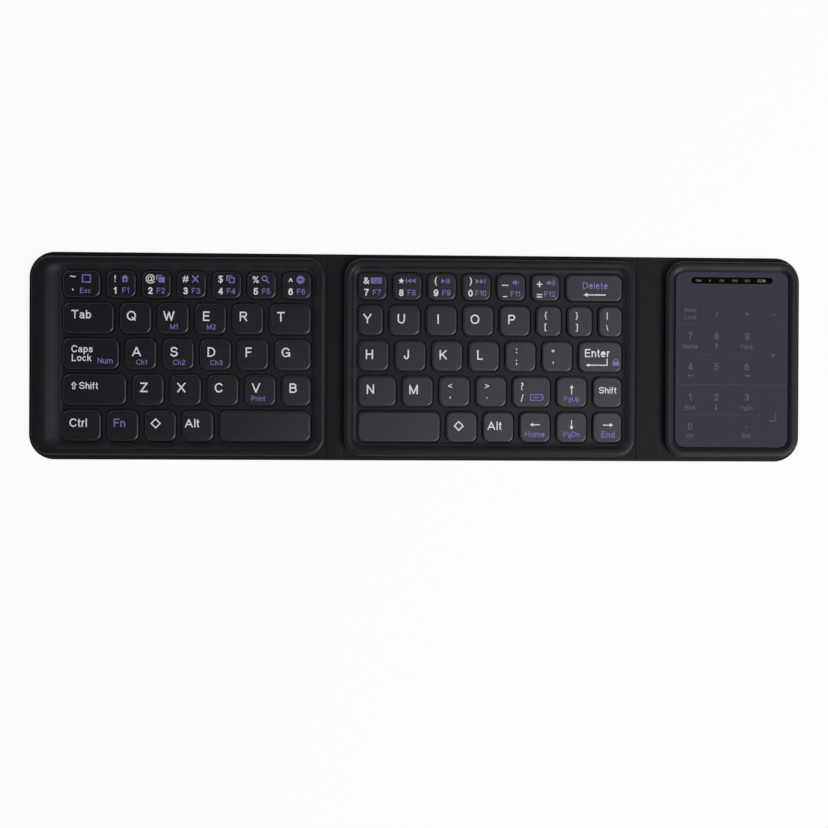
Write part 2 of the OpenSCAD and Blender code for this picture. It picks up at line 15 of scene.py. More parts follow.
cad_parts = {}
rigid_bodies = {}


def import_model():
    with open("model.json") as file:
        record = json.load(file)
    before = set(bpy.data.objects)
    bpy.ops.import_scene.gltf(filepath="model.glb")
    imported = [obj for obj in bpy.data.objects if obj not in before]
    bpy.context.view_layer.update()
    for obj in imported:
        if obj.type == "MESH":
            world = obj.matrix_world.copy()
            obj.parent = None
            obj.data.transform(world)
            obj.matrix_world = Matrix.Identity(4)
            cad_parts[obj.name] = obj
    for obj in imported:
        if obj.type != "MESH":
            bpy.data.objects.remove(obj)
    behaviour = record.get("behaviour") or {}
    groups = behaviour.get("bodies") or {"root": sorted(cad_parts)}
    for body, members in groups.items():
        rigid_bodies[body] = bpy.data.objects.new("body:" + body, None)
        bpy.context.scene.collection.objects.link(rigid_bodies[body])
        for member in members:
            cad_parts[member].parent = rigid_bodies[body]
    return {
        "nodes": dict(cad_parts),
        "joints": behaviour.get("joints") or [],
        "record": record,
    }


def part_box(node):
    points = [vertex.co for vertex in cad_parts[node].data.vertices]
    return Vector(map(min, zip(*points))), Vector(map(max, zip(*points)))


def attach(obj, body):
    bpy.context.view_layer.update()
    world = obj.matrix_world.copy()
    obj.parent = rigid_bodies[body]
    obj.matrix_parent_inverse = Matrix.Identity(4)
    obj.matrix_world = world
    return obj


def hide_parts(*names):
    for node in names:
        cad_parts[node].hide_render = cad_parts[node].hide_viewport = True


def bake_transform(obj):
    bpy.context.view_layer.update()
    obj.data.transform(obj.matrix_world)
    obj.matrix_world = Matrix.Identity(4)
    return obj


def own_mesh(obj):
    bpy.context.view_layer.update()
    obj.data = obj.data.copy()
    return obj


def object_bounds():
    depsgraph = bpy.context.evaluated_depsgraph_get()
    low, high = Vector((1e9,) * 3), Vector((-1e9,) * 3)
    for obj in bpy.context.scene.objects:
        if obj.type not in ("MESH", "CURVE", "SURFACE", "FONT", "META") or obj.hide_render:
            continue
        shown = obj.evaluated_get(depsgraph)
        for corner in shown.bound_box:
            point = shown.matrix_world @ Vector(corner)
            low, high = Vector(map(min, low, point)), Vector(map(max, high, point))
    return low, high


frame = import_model()
cad_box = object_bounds()

MM = 0.001
BODY_OF = {n: body for body, nodes in frame["record"]["behaviour"]["bodies"].items() for n in nodes}


def add_object(name, data):
    made = bpy.data.objects.new(name, data)
    bpy.context.scene.collection.objects.link(made)
    return made


# --- camera and light ---

CAMERA_TURN = (-0.236, -2.752, 0.273)   # degrees about X, Y and Z
CAMERA_DISTANCE = 0.75
CAMERA_AIM = Vector((-1.80 * MM, -25.86 * MM, 0))
CAMERA_LENS = 70.81
CAMERA_SENSOR = 36
CAMERA_NEAR = 0.01
LAMPS = {   # square soft lamps: place, aim, size in metres, power in watts
    "lamp_overhead": ((0.52, -0.26, 1.20), (0.42, -0.15, 0), 1.05, 5.4),
    "lamp_right": ((0.85, -0.65, 1.00), (0.05, 0, 0), 0.70, 14.0),
    "lamp_left": ((-0.95, 0.85, 0.75), (-0.05, 0, 0), 0.80, 2.5),
}
SKY_COLOR = (0.92, 0.95, 1.0)
SKY_STRENGTH = 0.11


def add_camera():
    data = bpy.data.cameras.new("camera")
    data.lens = CAMERA_LENS
    data.sensor_width = CAMERA_SENSOR
    data.clip_start = CAMERA_NEAR
    camera = add_object("camera", data)
    camera.rotation_euler = Euler([math.radians(a) for a in CAMERA_TURN])
    camera.location = CAMERA_AIM + camera.rotation_euler.to_matrix() @ Vector((0, 0, CAMERA_DISTANCE))
    bpy.context.scene.camera = camera


def add_light():
    for name, (place, aim, size, power) in LAMPS.items():
        data = bpy.data.lights.new(name, "AREA")
        data.size = size
        data.energy = power
        lamp = add_object(name, data)
        lamp.location = place
        lamp.rotation_euler = (Vector(aim) - Vector(place)).to_track_quat("-Z", "Y").to_euler()
    world = bpy.data.worlds.new("studio")
    bpy.context.scene.world = world
    world.use_nodes = True
    sky = world.node_tree.nodes["Background"]
    sky.inputs["Color"].default_value = (*SKY_COLOR, 1)
    sky.inputs["Strength"].default_value = SKY_STRENGTH


# --- materials ---

LOW, HIGH = 0.3, 0.7         # between these lies nearly all of a noise


class Surface:
    """A Principled material with a few procedural patterns laid over it."""

    def __init__(self, name, color, rough, metallic=0.0, specular=0.5, sheen=(1, 1, 1)):
        self.material = bpy.data.materials.new(name)
        self.material.use_nodes = True
        self.tree = self.material.node_tree
        self.link = self.tree.links.new
        self.shader = self.tree.nodes["Principled BSDF"]
        for socket, value in (("Base Color", (*color, 1)), ("Roughness", rough), ("Metallic", metallic),
                              ("IOR", 1.5), ("Specular IOR Level", specular), ("Specular Tint", (*sheen, 1))):
            self.shader.inputs[socket].default_value = value
        self.place = self.node("ShaderNodeTexCoord").outputs["Object"]
        self.bump = None

    def node(self, kind, **inputs):
        made = self.tree.nodes.new(kind)
        for socket, value in inputs.items():
            made.inputs[socket.replace("_", " ")].default_value = value
        return made

    def noise(self, size, detail, squeeze=None):
        """Soft noise whose blotches are about size across, or smaller along the axes that are squeezed."""
        made = self.node("ShaderNodeTexNoise", Scale=1 / size, Detail=detail)
        place = self.place
        if squeeze:
            mapping = self.node("ShaderNodeMapping", Scale=squeeze)
            self.link(place, mapping.inputs["Vector"])
            place = mapping.outputs["Vector"]
        self.link(place, made.inputs["Vector"])
        return made.outputs["Fac"]

    def pebbles(self, size):
        """Rounded cells with creases between them, as in leather."""
        made = self.node("ShaderNodeTexVoronoi", Scale=1 / size)
        made.feature = "SMOOTH_F1"
        self.link(self.place, made.inputs["Vector"])
        return made.outputs["Distance"]

    def vary_color(self, value, first, second, start=LOW, stop=HIGH):
        """Maps a pattern from start..stop to a blend of two colours."""
        ramp = self.node("ShaderNodeValToRGB")
        for element, position, color in zip(ramp.color_ramp.elements, (start, stop), (first, second)):
            element.position = position
            element.color = (*color, 1)
        self.link(value, ramp.inputs["Fac"])
        self.link(ramp.outputs["Color"], self.shader.inputs["Base Color"])

    def vary_roughness(self, value, low, high):
        made = self.node("ShaderNodeMapRange", From_Min=LOW, From_Max=HIGH, To_Min=low, To_Max=high)
        self.link(value, made.inputs["Value"])
        self.link(made.outputs["Result"], self.shader.inputs["Roughness"])

    def raise_by(self, value, height, strength):
        """Bump of that height, on top of any earlier one."""
        made = self.node("ShaderNodeBump", Strength=strength, Distance=height)
        self.link(value, made.inputs["Height"])
        if self.bump:
            self.link(self.bump, made.inputs["Normal"])
        self.bump = made.outputs["Normal"]
        self.link(self.bump, self.shader.inputs["Normal"])


def cover_leather():
    """Charcoal leather-like sheet with a fine pebble grain."""
    s = Surface("cover_leather", (0.0048, 0.0046, 0.0061), 0.56, specular=0.18, sheen=(0.96, 0.94, 1.0))
    s.vary_color(s.noise(14 * MM, 5), (0.0042, 0.0040, 0.0054), (0.0055, 0.0053, 0.0070))
    s.vary_roughness(s.noise(5 * MM, 6), 0.50, 0.62)
    s.raise_by(s.pebbles(0.55 * MM), 0.030 * MM, 0.55)
    s.raise_by(s.noise(2.2 * MM, 5), 0.04 * MM, 0.35)
    return s.material


def tray_plastic():
    """Soft-touch moulded plastic."""
    s = Surface("tray_plastic", (0.0036, 0.0034, 0.0052), 0.50, specular=0.27, sheen=(0.95, 0.92, 1.0))
    s.vary_color(s.noise(11 * MM, 4), (0.0031, 0.0029, 0.0045), (0.0042, 0.0040, 0.0060))
    s.vary_roughness(s.noise(3 * MM, 5), 0.38, 0.48)
    s.raise_by(s.noise(0.30 * MM, 3), 0.010 * MM, 0.5)
    return s.material


def keycap_plastic():
    """Fine matte moulded caps, a little cooler and lighter than the trays."""
    s = Surface("keycap_plastic", (0.0044, 0.0041, 0.0066), 0.28, specular=0.56, sheen=(0.93, 0.90, 1.0))
    s.vary_color(s.noise(9 * MM, 3), (0.0039, 0.0036, 0.0059), (0.0050, 0.0047, 0.0074))
    s.vary_roughness(s.noise(4 * MM, 2), 0.26, 0.31)
    s.raise_by(s.noise(0.22 * MM, 2), 0.003 * MM, 0.12)
    return s.material


def ink(name, color):
    """Printed ink: nearly flat, with a slight unevenness."""
    s = Surface(name, color, 0.55, specular=0.3)
    s.vary_color(s.noise(0.5 * MM, 4), tuple(0.86 * c for c in color), color, 0.25, 0.55)
    s.vary_roughness(s.noise(0.4 * MM, 3), 0.48, 0.62)
    return s.material


def touch_glass():
    """Dark coated glass: smooth, with the faintest smears."""
    s = Surface("touch_glass", (0.0092, 0.0083, 0.0205), 0.16, specular=0.31, sheen=(0.93, 0.88, 1.0))
    s.vary_color(s.noise(40 * MM, 3), (0.0086, 0.0078, 0.0194), (0.0100, 0.0090, 0.0220))
    s.vary_roughness(s.noise(12 * MM, 6), 0.13, 0.22)
    s.raise_by(s.noise(30 * MM, 2), 0.01 * MM, 0.3)
    return s.material


def window_plastic():
    """Near-black window over the small lamps."""
    s = Surface("indicator_window", (0.0012, 0.0012, 0.0016), 0.20, specular=0.02)
    s.vary_roughness(s.noise(2 * MM, 4), 0.16, 0.26)
    s.vary_color(s.noise(6 * MM, 3), (0.0010, 0.0010, 0.0014), (0.0015, 0.0015, 0.0020))
    return s.material


def brushed_metal(name, color, rough, grain=(1, 14, 14)):
    """Rolled or drawn metal, with its grain along X."""
    s = Surface(name, color, rough, metallic=1.0)
    lines = s.noise(1.2 * MM, 5, grain)
    s.vary_color(lines, tuple(0.86 * c for c in color), color)
    s.vary_roughness(lines, rough - 0.06, rough + 0.08)
    s.raise_by(lines, 0.004 * MM, 0.4)
    return s.material


def moulded(name, color, rough):
    """Plain moulded plastic or rubber, with a fine grain."""
    s = Surface(name, color, rough)
    s.vary_color(s.noise(6 * MM, 3), tuple(0.88 * c for c in color), color)
    s.vary_roughness(s.noise(1.5 * MM, 4), rough - 0.05, rough + 0.06)
    s.raise_by(s.noise(0.25 * MM, 3), 0.005 * MM, 0.5)
    return s.material


def printed_tracks(name, color, track, pitch):
    """Film or board with fine conducting tracks along X."""
    s = Surface(name, color, 0.42)
    bands = s.node("ShaderNodeTexWave", Scale=1 / pitch / 6.3, Distortion=0.4, Detail=1.0)
    bands.bands_direction = "Y"
    s.link(s.place, bands.inputs["Vector"])
    s.vary_color(bands.outputs["Fac"], color, track, 0.62, 0.74)
    s.vary_roughness(bands.outputs["Fac"], 0.46, 0.30)
    s.raise_by(bands.outputs["Fac"], 0.01 * MM, 0.4)
    return s.material


WHITE_SHARE = 0.92          # how far the backdrop is lifted to white where it is seen
BACKDROP_COLOR = (0.82, 0.82, 0.82)


def backdrop_white():
    """White studio floor: what the camera sees is lifted to white, and the soft shadow stays."""
    material = bpy.data.materials.new("backdrop_white")
    material.use_nodes = True
    tree = material.node_tree
    tree.nodes.clear()
    ray = tree.nodes.new("ShaderNodeLightPath")
    seen = ray.outputs["Is Camera Ray"]
    for kind in ("Is Glossy Ray", "Is Transmission Ray"):
        either = tree.nodes.new("ShaderNodeMath")
        either.operation = "MAXIMUM"
        tree.links.new(seen, either.inputs[0])
        tree.links.new(ray.outputs[kind], either.inputs[1])
        seen = either.outputs[0]
    share = tree.nodes.new("ShaderNodeMath")
    share.operation = "MULTIPLY"
    share.inputs[1].default_value = WHITE_SHARE
    tree.links.new(seen, share.inputs[0])
    matt = tree.nodes.new("ShaderNodeBsdfDiffuse")
    matt.inputs["Color"].default_value = (*BACKDROP_COLOR, 1)
    glow = tree.nodes.new("ShaderNodeEmission")
    glow.inputs["Strength"].default_value = 1.0
    mix = tree.nodes.new("ShaderNodeMixShader")
    for source, socket in ((share, 0), (matt, 1), (glow, 2)):
        tree.links.new(source.outputs[0], mix.inputs[socket])
    tree.links.new(mix.outputs[0], tree.nodes.new("ShaderNodeOutputMaterial").inputs["Surface"])
    return material


FINISH = {
    "cover_leather": cover_leather(),
    "tray_plastic": tray_plastic(),
    "keycap_plastic": keycap_plastic(),
    "plate_steel": brushed_metal("plate_steel", (0.50, 0.51, 0.53), 0.36),
    "membrane_film": printed_tracks("membrane_film", (0.020, 0.023, 0.025), (0.060, 0.062, 0.065),
                                    0.9 * MM),
    "dome_rubber": moulded("dome_rubber", (0.60, 0.60, 0.57), 0.60),
    "scissor_plastic": moulded("scissor_plastic", (0.55, 0.55, 0.54), 0.42),
    "magnet_metal": brushed_metal("magnet_metal", (0.62, 0.63, 0.65), 0.22, (3, 3, 1)),
    "circuit_board": printed_tracks("circuit_board", (0.010, 0.075, 0.035), (0.030, 0.150, 0.070), 0.7 * MM),
    "socket_steel": brushed_metal("socket_steel", (0.56, 0.56, 0.58), 0.26, (1, 6, 6)),
    "ribbon_film": printed_tracks("ribbon_film", (0.300, 0.120, 0.025), (0.450, 0.220, 0.060), 0.6 * MM),
    "touch_glass": touch_glass(),
    "indicator_window": window_plastic(),
    "led_plastic": moulded("led_plastic", (0.75, 0.75, 0.70), 0.35),
    "battery_foil": brushed_metal("battery_foil", (0.55, 0.57, 0.59), 0.34, (2, 5, 5)),
}
INK = {
    "white": ink("ink_white", (0.80, 0.80, 0.83)),
    "blue": ink("ink_blue", (0.175, 0.170, 0.470)),
    "grey": ink("ink_grey", (0.098, 0.095, 0.125)),
    "mark": ink("ink_mark", (0.200, 0.200, 0.215)),
    "line": ink("ink_line", (0.050, 0.048, 0.066)),
}


def finish_cad_nodes():
    """Gives every CAD node the finish of its slot in the record."""
    for part in frame["record"]["subparts"]:
        mesh = frame["nodes"][part["node"]].data
        mesh.materials.clear()
        mesh.materials.append(FINISH[part["material_slot"]])


# --- mesh building ---

CORNER_STEPS = 12
SMOOTH_UNDER = math.radians(32)
SOLID_GAP = 0.2 * MM         # separate solids of a node lie further apart than this


def rounded_rect(x0, x1, y0, y1, radius, z):
    """Points round a rounded rectangle at height z, anticlockwise."""
    points = []
    centres = [(x1 - radius, y0 + radius), (x1 - radius, y1 - radius),
               (x0 + radius, y1 - radius), (x0 + radius, y0 + radius)]
    for corner, (cx, cy) in enumerate(centres):
        for i in range(CORNER_STEPS + 1):
            a = math.radians(90 * (corner - 1 + i / CORNER_STEPS))
            points.append(Vector((cx + radius * math.cos(a), cy + radius * math.sin(a), z)))
    return points


def to_mesh(bm, name):
    mesh = bpy.data.meshes.new(name)
    bm.to_mesh(mesh)
    bm.free()
    return mesh


class Solid:
    """A closed mesh in the making, from rings of points joined by walls."""

    def __init__(self, bm=None):
        self.bm = bm or bmesh.new()

    def wall(self, a, b):
        for i in range(len(a)):
            j = (i + 1) % len(a)
            self.bm.faces.new((a[i], a[j], b[j], b[i]))

    def loft(self, rings, closed=False):
        """Joins each ring of points to the next, and the last to the first where closed."""
        made = [[self.bm.verts.new(p) for p in points] for points in rings]
        for a, b in zip(made, made[1:]):
            self.wall(a, b)
        if closed:
            self.wall(made[-1], made[0])
        return made

    def block(self, rings):
        """A loft with flat ends."""
        made = self.loft(rings)
        self.bm.faces.new(made[0])
        self.bm.faces.new(made[-1])

    def lid(self, ring, holes):
        """Flat face inside a ring, round its holes."""
        loops = [ring, *holes]
        verts = [v for loop in loops for v in loop]
        for a, b, c in tessellate_polygon([[v.co for v in loop] for loop in loops]):
            self.bm.faces.new((verts[a], verts[b], verts[c]))

    def cut(self, x, side=1, clear=False):
        """Adds a line of vertices across the mesh at x, and clears what is beyond it on one side."""
        everything = self.bm.verts[:] + self.bm.edges[:] + self.bm.faces[:]
        return bmesh.ops.bisect_plane(self.bm, geom=everything, dist=1e-7, plane_co=(x, 0, 0),
                                      plane_no=(side, 0, 0), clear_outer=clear)["geom_cut"]

    def keep_between(self, x0, x1):
        """Cuts away what lies outside x0..x1, and closes the cuts."""
        for x, side in ((x0, -1), (x1, 1)):
            edges = [e for e in self.cut(x, side, clear=True) if isinstance(e, bmesh.types.BMEdge)]
            bmesh.ops.contextual_create(self.bm, geom=edges)

    def piece(self, name, slot, cutter=False):
        """Turns the mesh into an object with smooth sides and flat flats."""
        bmesh.ops.recalc_face_normals(self.bm, faces=self.bm.faces)
        for face in self.bm.faces:
            face.smooth = True
        mesh = to_mesh(self.bm, name)
        mesh.set_sharp_from_angle(angle=SMOOTH_UNDER)
        mesh.materials.append(FINISH[slot])
        made = add_object(name, mesh)
        weighted = made.modifiers.new("flat_flats", "WEIGHTED_NORMAL")
        weighted.keep_sharp = True
        return made


def stand_for(made, node):
    """Lets a piece ride on the body of a CAD node and replace it."""
    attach(made, BODY_OF[node])
    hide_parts(node)


def grow(rect, by):
    """A rectangle (x0, x1, y0, y1) made larger on every side."""
    x0, x1, y0, y1 = rect
    return (x0 - by, x1 + by, y0 - by, y1 + by)


def outlines(rect, radius, levels, least_radius=0):
    """A rounded rectangle at each (inset, z) inside a rectangle."""
    return [rounded_rect(*grow(rect, -inset), max(radius - inset, least_radius), z) for inset, z in levels]


def plan(node):
    """A CAD node's rectangle seen from above, with its lowest and highest z."""
    low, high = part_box(node)
    return (low.x, high.x, low.y, high.y), low.z, high.z


def circle(x, y, radius, count=24):
    """Points round a circle."""
    return [(x + radius * math.cos(a), y + radius * math.sin(a))
            for a in (2 * math.pi * i / count for i in range(count))]


def quarter(count):
    """(across, up) shares of a quarter round, from its upright end to its flat end."""
    return [(1 - math.cos(a), math.sin(a)) for a in (math.pi / 2 * i / count for i in range(count + 1))]


def rounded_edge(size, top, count):
    """(inset, z) up and over a rounded upper edge of that size."""
    return [(size * across, top - size * (1 - up)) for across, up in quarter(count)]


def separate_rects(node):
    """The separate solids of a CAD node seen from above, from left to right."""
    mesh = frame["nodes"][node].data
    ranges = []
    for face in mesh.polygons:
        xs = [mesh.vertices[v].co.x for v in face.vertices]
        ranges.append((min(xs), max(xs)))
    spans = []
    for low, high in sorted(ranges):
        if spans and low < spans[-1][1] + SOLID_GAP:
            spans[-1][1] = max(spans[-1][1], high)
        else:
            spans.append([low, high])
    return [(*span, *plan(node)[0][2:]) for span in spans]


# --- cover ---

COVER_NODES = ["cover_left", "cover_middle", "cover_right", "lining_left", "lining_middle", "lining_right",
               "spine_left", "spine_right"]
COVER_RADIUS = 11.5 * MM
COVER_EDGE = 0.42 * MM       # rounding of the turned edge
COVER_FLAT = 1.1 * MM        # where the flat top starts
COVER_SEAM = 0.12 * MM       # depth of the line between skin and lining along the edge
SEAM_PROFILE = ((0, -0.10), (0.7, -0.03), (1, 0), (0.7, 0.03), (0, 0.10))   # share of that depth, mm up
CREASE_DEPTH = 0.14 * MM
CREASE_WIDTH = 0.45 * MM
BEND_TRAY_SIDE = 0.38 * MM   # a tray starts just beyond this, so the sheet under it stays flat
BEND_SPINE_SIDE = 1.5 * MM
BEND_CUTS = 14


def crease_lines():
    """The four creases: (x, the panel body beside it, the spine body, which way the spine lies)."""
    return [(plan(f"cover_{panel}")[0][end], panel, f"spine_{spine}", way) for panel, end, spine, way in
            (("left", 1, "left", 1), ("middle", 0, "left", -1), ("middle", 1, "right", 1),
             ("right", 0, "right", -1))]


def cover_sheet():
    """The whole cover, with lines of vertices where it bends."""
    x0, x1 = plan("cover_left")[0][0], plan("cover_right")[0][1]
    (_, _, y0, y1), bottom, layer = plan("cover_middle")
    top = plan("lining_middle")[2]
    edge = [(COVER_EDGE * across, bottom + COVER_EDGE * (1 - up)) for across, up in quarter(5)][::-1]
    edge += [(COVER_SEAM * share, layer + up * MM) for share, up in SEAM_PROFILE]
    edge += rounded_edge(COVER_EDGE, top, 5) + [(COVER_FLAT, top)]
    sheet = Solid()
    sheet.block(outlines((x0, x1, y0, y1), COVER_RADIUS, edge))
    for x, _, _, way in crease_lines():
        for i in range(BEND_CUTS + 1):
            sheet.cut(x + way * (-BEND_TRAY_SIDE + (BEND_TRAY_SIDE + BEND_SPINE_SIDE) * i / BEND_CUTS))
    for v in sheet.bm.verts:
        if v.co.z > top - COVER_EDGE:
            dip = max(math.exp(-((v.co.x - line[0]) / CREASE_WIDTH) ** 2) for line in crease_lines())
            v.co.z -= CREASE_DEPTH * dip if dip > 0.01 else 0
    return sheet


def add_cover():
    """Four stretches of one sheet, each round one crease, cut where a body carries both sides of the cut."""
    creases = crease_lines()
    cuts = [plan("cover_left")[0][0] - MM, *[(a[0] + b[0]) / 2 for a, b in zip(creases, creases[1:])],
            plan("cover_right")[0][1] + MM]
    sheet = cover_sheet()
    for i, (x, panel, spine, way) in enumerate(creases):
        stretch = Solid(sheet.bm.copy())
        stretch.keep_between(cuts[i], cuts[i + 1])
        made = stretch.piece(f"cover_sheet_{i + 1}", "cover_leather")
        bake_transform(made)
        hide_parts(*[n for n in COVER_NODES if n.endswith(panel) or n == spine])
    sheet.bm.free()


# --- trays ---

TRAY_RADIUS = 8.5 * MM
TRAY_INNER_RADIUS = 3.5 * MM
TRAY_WALL = 1.5 * MM
RIM_ROUND = 1.5 * MM         # how far in from the wall the rim's outer rounding reaches
RIM_DROP = 1.0 * MM          # how far down the wall it starts
RIM_CREST = 2.5 * MM
SLOPE_FOOT = 5.0 * MM
SLOPE_STEPS = 12
RECESS = 1.6 * MM
WEB = 0.8 * MM
END_ROUND = 4.2 * MM         # the same four along the wide free end of the left tray
END_DROP = 0.45 * MM
END_CREST = 5.0 * MM
END_FOOT = 13.0 * MM
OPENING_GAP = 0.3 * MM
OPENING_EDGE = 0.18 * MM
CAP_RADIUS = 3.4 * MM
SOCKET_GAP = 0.1 * MM
MOUTH_SHARE = 0.999          # the mouth's ends are just short of half rounds


def rim_profile(base, top, wide):
    """(inset, inset at the free end, z) from the tray's foot over the rim to the foot of its slope."""
    profile = [(0, 0, base)]
    for across, up in quarter(12):
        z = top - RIM_DROP * (1 - up)
        rise = max(0, 1 - (top - z) / END_DROP)
        end = END_ROUND * (1 - math.sqrt(1 - rise * rise)) if wide else RIM_ROUND * across
        profile.append((RIM_ROUND * across, end, z))
    crest, foot = (END_CREST, END_FOOT) if wide else (RIM_CREST, SLOPE_FOOT)
    for i in range(1, SLOPE_STEPS + 1):
        t = i / SLOPE_STEPS
        z = top - RECESS * t * t * (3 - 2 * t)
        profile.append((RIM_CREST + (SLOPE_FOOT - RIM_CREST) * t, crest + (foot - crest) * t, z))
    return profile


def tray_ring(rect, inset, left_inset, z):
    x0, x1, y0, y1 = rect
    radius = max(TRAY_RADIUS - inset, TRAY_INNER_RADIUS)
    return rounded_rect(x0 + left_inset, x1 - inset, y0 + inset, y1 - inset, radius, z)


def add_key_tray(name, cap_nodes, wide=False):
    """Frame of a key tray: rim, soft slope, and a web with an opening round each keycap."""
    rect, base, top = plan(name)
    tray = Solid()
    web_top, web_base = top - RECESS, top - RECESS - WEB
    under = [(TRAY_WALL, TRAY_WALL, web_base), (TRAY_WALL, TRAY_WALL, base)]
    rings = tray.loft([tray_ring(rect, *level) for level in under + rim_profile(base, top, wide)])
    levels = [(OPENING_EDGE * (up - 1), web_top - OPENING_EDGE * across) for across, up in quarter(3)][::-1]
    levels.append((0, web_base))
    holes = [tray.loft(outlines(grow(rect, OPENING_GAP), CAP_RADIUS + OPENING_GAP, levels))
             for node in cap_nodes for rect in separate_rects(node)]
    tray.lid(rings[-1], [hole[0] for hole in holes])
    tray.lid(rings[0], [hole[-1] for hole in holes])
    made = tray.piece(f"{name}_shell", "tray_plastic")
    if wide:
        cut_socket_mouth(made, rect[0])
    stand_for(made, name)


def cut_socket_mouth(tray, wall_x):
    """Opens the wall round the charging socket, and the room behind it for the socket and its board."""
    (_, socket_x, y0, y1), z0, z1 = plan("usb_socket")
    room, _, board_top = plan("main_board")
    middle_y, middle_z = (y0 + y1) / 2, (z0 + z1) / 2
    radius = (z1 - z0) / 2 + SOCKET_GAP
    outline = rounded_rect(y0 - middle_y - SOCKET_GAP, (y1 - y0) / 2 + SOCKET_GAP, -radius, radius,
                           radius * MOUTH_SHARE, 0)
    mouth = Solid()
    mouth.block([[Vector((x, middle_y + p.x, middle_z + p.y)) for p in outline]
                 for x in (wall_x - 2 * MM, wall_x + TRAY_WALL + MM)])
    cutters = [mouth]
    for rect, ceiling in (((wall_x, socket_x, y0, y1), z1), (room, board_top)):
        hollow = Solid()
        inner = (wall_x + TRAY_WALL + SOCKET_GAP / 2, rect[1] + 2 * SOCKET_GAP,
                 rect[2] - SOCKET_GAP, rect[3] + SOCKET_GAP)
        hollow.block([rounded_rect(*inner, MM, z) for z in (z0 - MM, ceiling + SOCKET_GAP / 2)])
        cutters.append(hollow)
    for cutter in cutters:
        carve(tray, cutter.piece("cutter", "tray_plastic", cutter=True))


def evaluated_mesh(made):
    """A copy of the mesh that an object's curve or modifiers give."""
    bpy.context.view_layer.update()
    return bpy.data.meshes.new_from_object(made.evaluated_get(bpy.context.evaluated_depsgraph_get()))


def carve(made, cutter):
    """Takes the cutter's shape out of a piece."""
    weighted = made.modifiers[0]
    weighted.show_viewport = False
    cut = made.modifiers.new("cut", "BOOLEAN")
    cut.operation = "DIFFERENCE"
    cut.solver = "EXACT"
    cut.object = cutter
    mesh = evaluated_mesh(made)
    made.modifiers.remove(cut)
    weighted.show_viewport = True
    for face in mesh.polygons:
        face.use_smooth = True
    mesh.set_sharp_from_angle(angle=SMOOTH_UNDER)
    made.data = mesh
    bpy.data.objects.remove(cutter)


PAD_TRAY_INNER_RADIUS = 4.2 * MM
PAD_DIP = ((2.2, 0.01), (2.7, 0.06), (3.1, 0.18), (3.5, 0.42))   # inset and depth in mm, towards the glass
BRINK_INSET = 0.25 * MM      # the last two points of that dip, counted from the brink round the glass
BRINK_DEPTHS = (0.75 * MM, 0.85 * MM)
LEDGE = 2.0 * MM             # width of the ledge under the glass
LEDGE_RISE = 0.8 * MM        # its top above the foot of the touch board
LEDGE_FOOT = 0.3 * MM
GLASS_GAP = 0.15 * MM


def add_pad_tray():
    """Frame of the touch pad: a rounded rim that dips to the glass, and a ledge under it."""
    rect, base, top = plan("frame_right")
    seat = plan("touch_board")[1] + LEDGE_RISE
    foot = base + LEDGE_FOOT
    brink = plan("touch_glass")[0][0] - GLASS_GAP - rect[0]
    profile = [(0, base)]
    profile += [(RIM_ROUND * across, top - RIM_DROP * (1 - up)) for across, up in quarter(9)]
    profile += [(inset * MM, top - depth * MM) for inset, depth in PAD_DIP]
    profile += [(brink - BRINK_INSET, top - BRINK_DEPTHS[0]), (brink, top - BRINK_DEPTHS[1]), (brink, seat),
                (brink + LEDGE, seat), (brink + LEDGE, foot), (TRAY_WALL, foot), (TRAY_WALL, base)]
    tray = Solid()
    tray.loft(outlines(rect, TRAY_RADIUS, profile, PAD_TRAY_INNER_RADIUS), closed=True)
    stand_for(tray.piece("frame_right_shell", "tray_plastic"), "frame_right")


# --- touch glass ---

GLASS_RADIUS = 4.5 * MM
GLASS_EDGE = 0.22 * MM
SLOT_GAP = 0.05 * MM


def add_touch_glass():
    """Glass with a rounded edge and a slot for the indicator window."""
    rect, base, top = plan("touch_glass")
    slot = grow(plan("indicator_window")[0], SLOT_GAP)
    glass = Solid()
    rings = glass.loft(outlines(rect, GLASS_RADIUS, [(0, base)] + rounded_edge(GLASS_EDGE, top, 4)))
    hole = glass.loft([rounded_rect(*slot, (slot[3] - slot[2]) / 2, z) for z in (top, base)])
    glass.lid(rings[-1], [hole[0]])
    glass.lid(rings[0], [hole[1]])
    stand_for(glass.piece("touch_glass_pane", "touch_glass"), "touch_glass")


# --- keycaps ---

CAP_EDGE = 0.75 * MM
CAP_FLAT = 0.4 * MM          # how far inside that edge the flat top starts
CAP_WALL = 0.8 * MM
CAP_FOOT = 0.10 * MM


def add_keycaps(node):
    """The keycaps of one node: hollow below, with softly rounded upper edges."""
    _, base, top = plan(node)
    levels = [(CAP_WALL, top - CAP_WALL), (CAP_WALL, base), (CAP_FOOT, base), (0, base + CAP_FOOT)]
    levels += rounded_edge(CAP_EDGE, top, 6) + [(CAP_EDGE + CAP_FLAT, top)]
    caps = Solid()
    for rect in separate_rects(node):
        caps.block(outlines(rect, CAP_RADIUS, levels))
    stand_for(caps.piece(f"{node}_caps", "keycap_plastic"), node)


DOME_PROFILE = ((2.4, 0), (2.4, 0.2), (2.1, 0.35), (1.85, 0.9), (1.6, 1.4), (1.45, 1.75), (1.25, 1.93),
                (0.9, 2.0))  # radius and height in mm
LINK_LENGTH = 8.2 * MM
LINK_BAR = 0.7 * MM
LINK_THICK = 0.4 * MM
LINK_RADII = (0.5 * MM, 0.3 * MM)   # of its outer and inner corners
LINK_SPAN = 5.2 * MM         # width of the opening round the dome
LINK_PLAY = 0.4 * MM         # room of the inner link in the outer one
LEAN_SHARE = 0.97            # the links stop just short of the cap
KEY_GAP = 0.05 * MM


def add_dome(solid, x, y, z):
    solid.block([[Vector((px, py, z + h * MM)) for px, py in circle(x, y, r * MM)] for r, h in DOME_PROFILE])


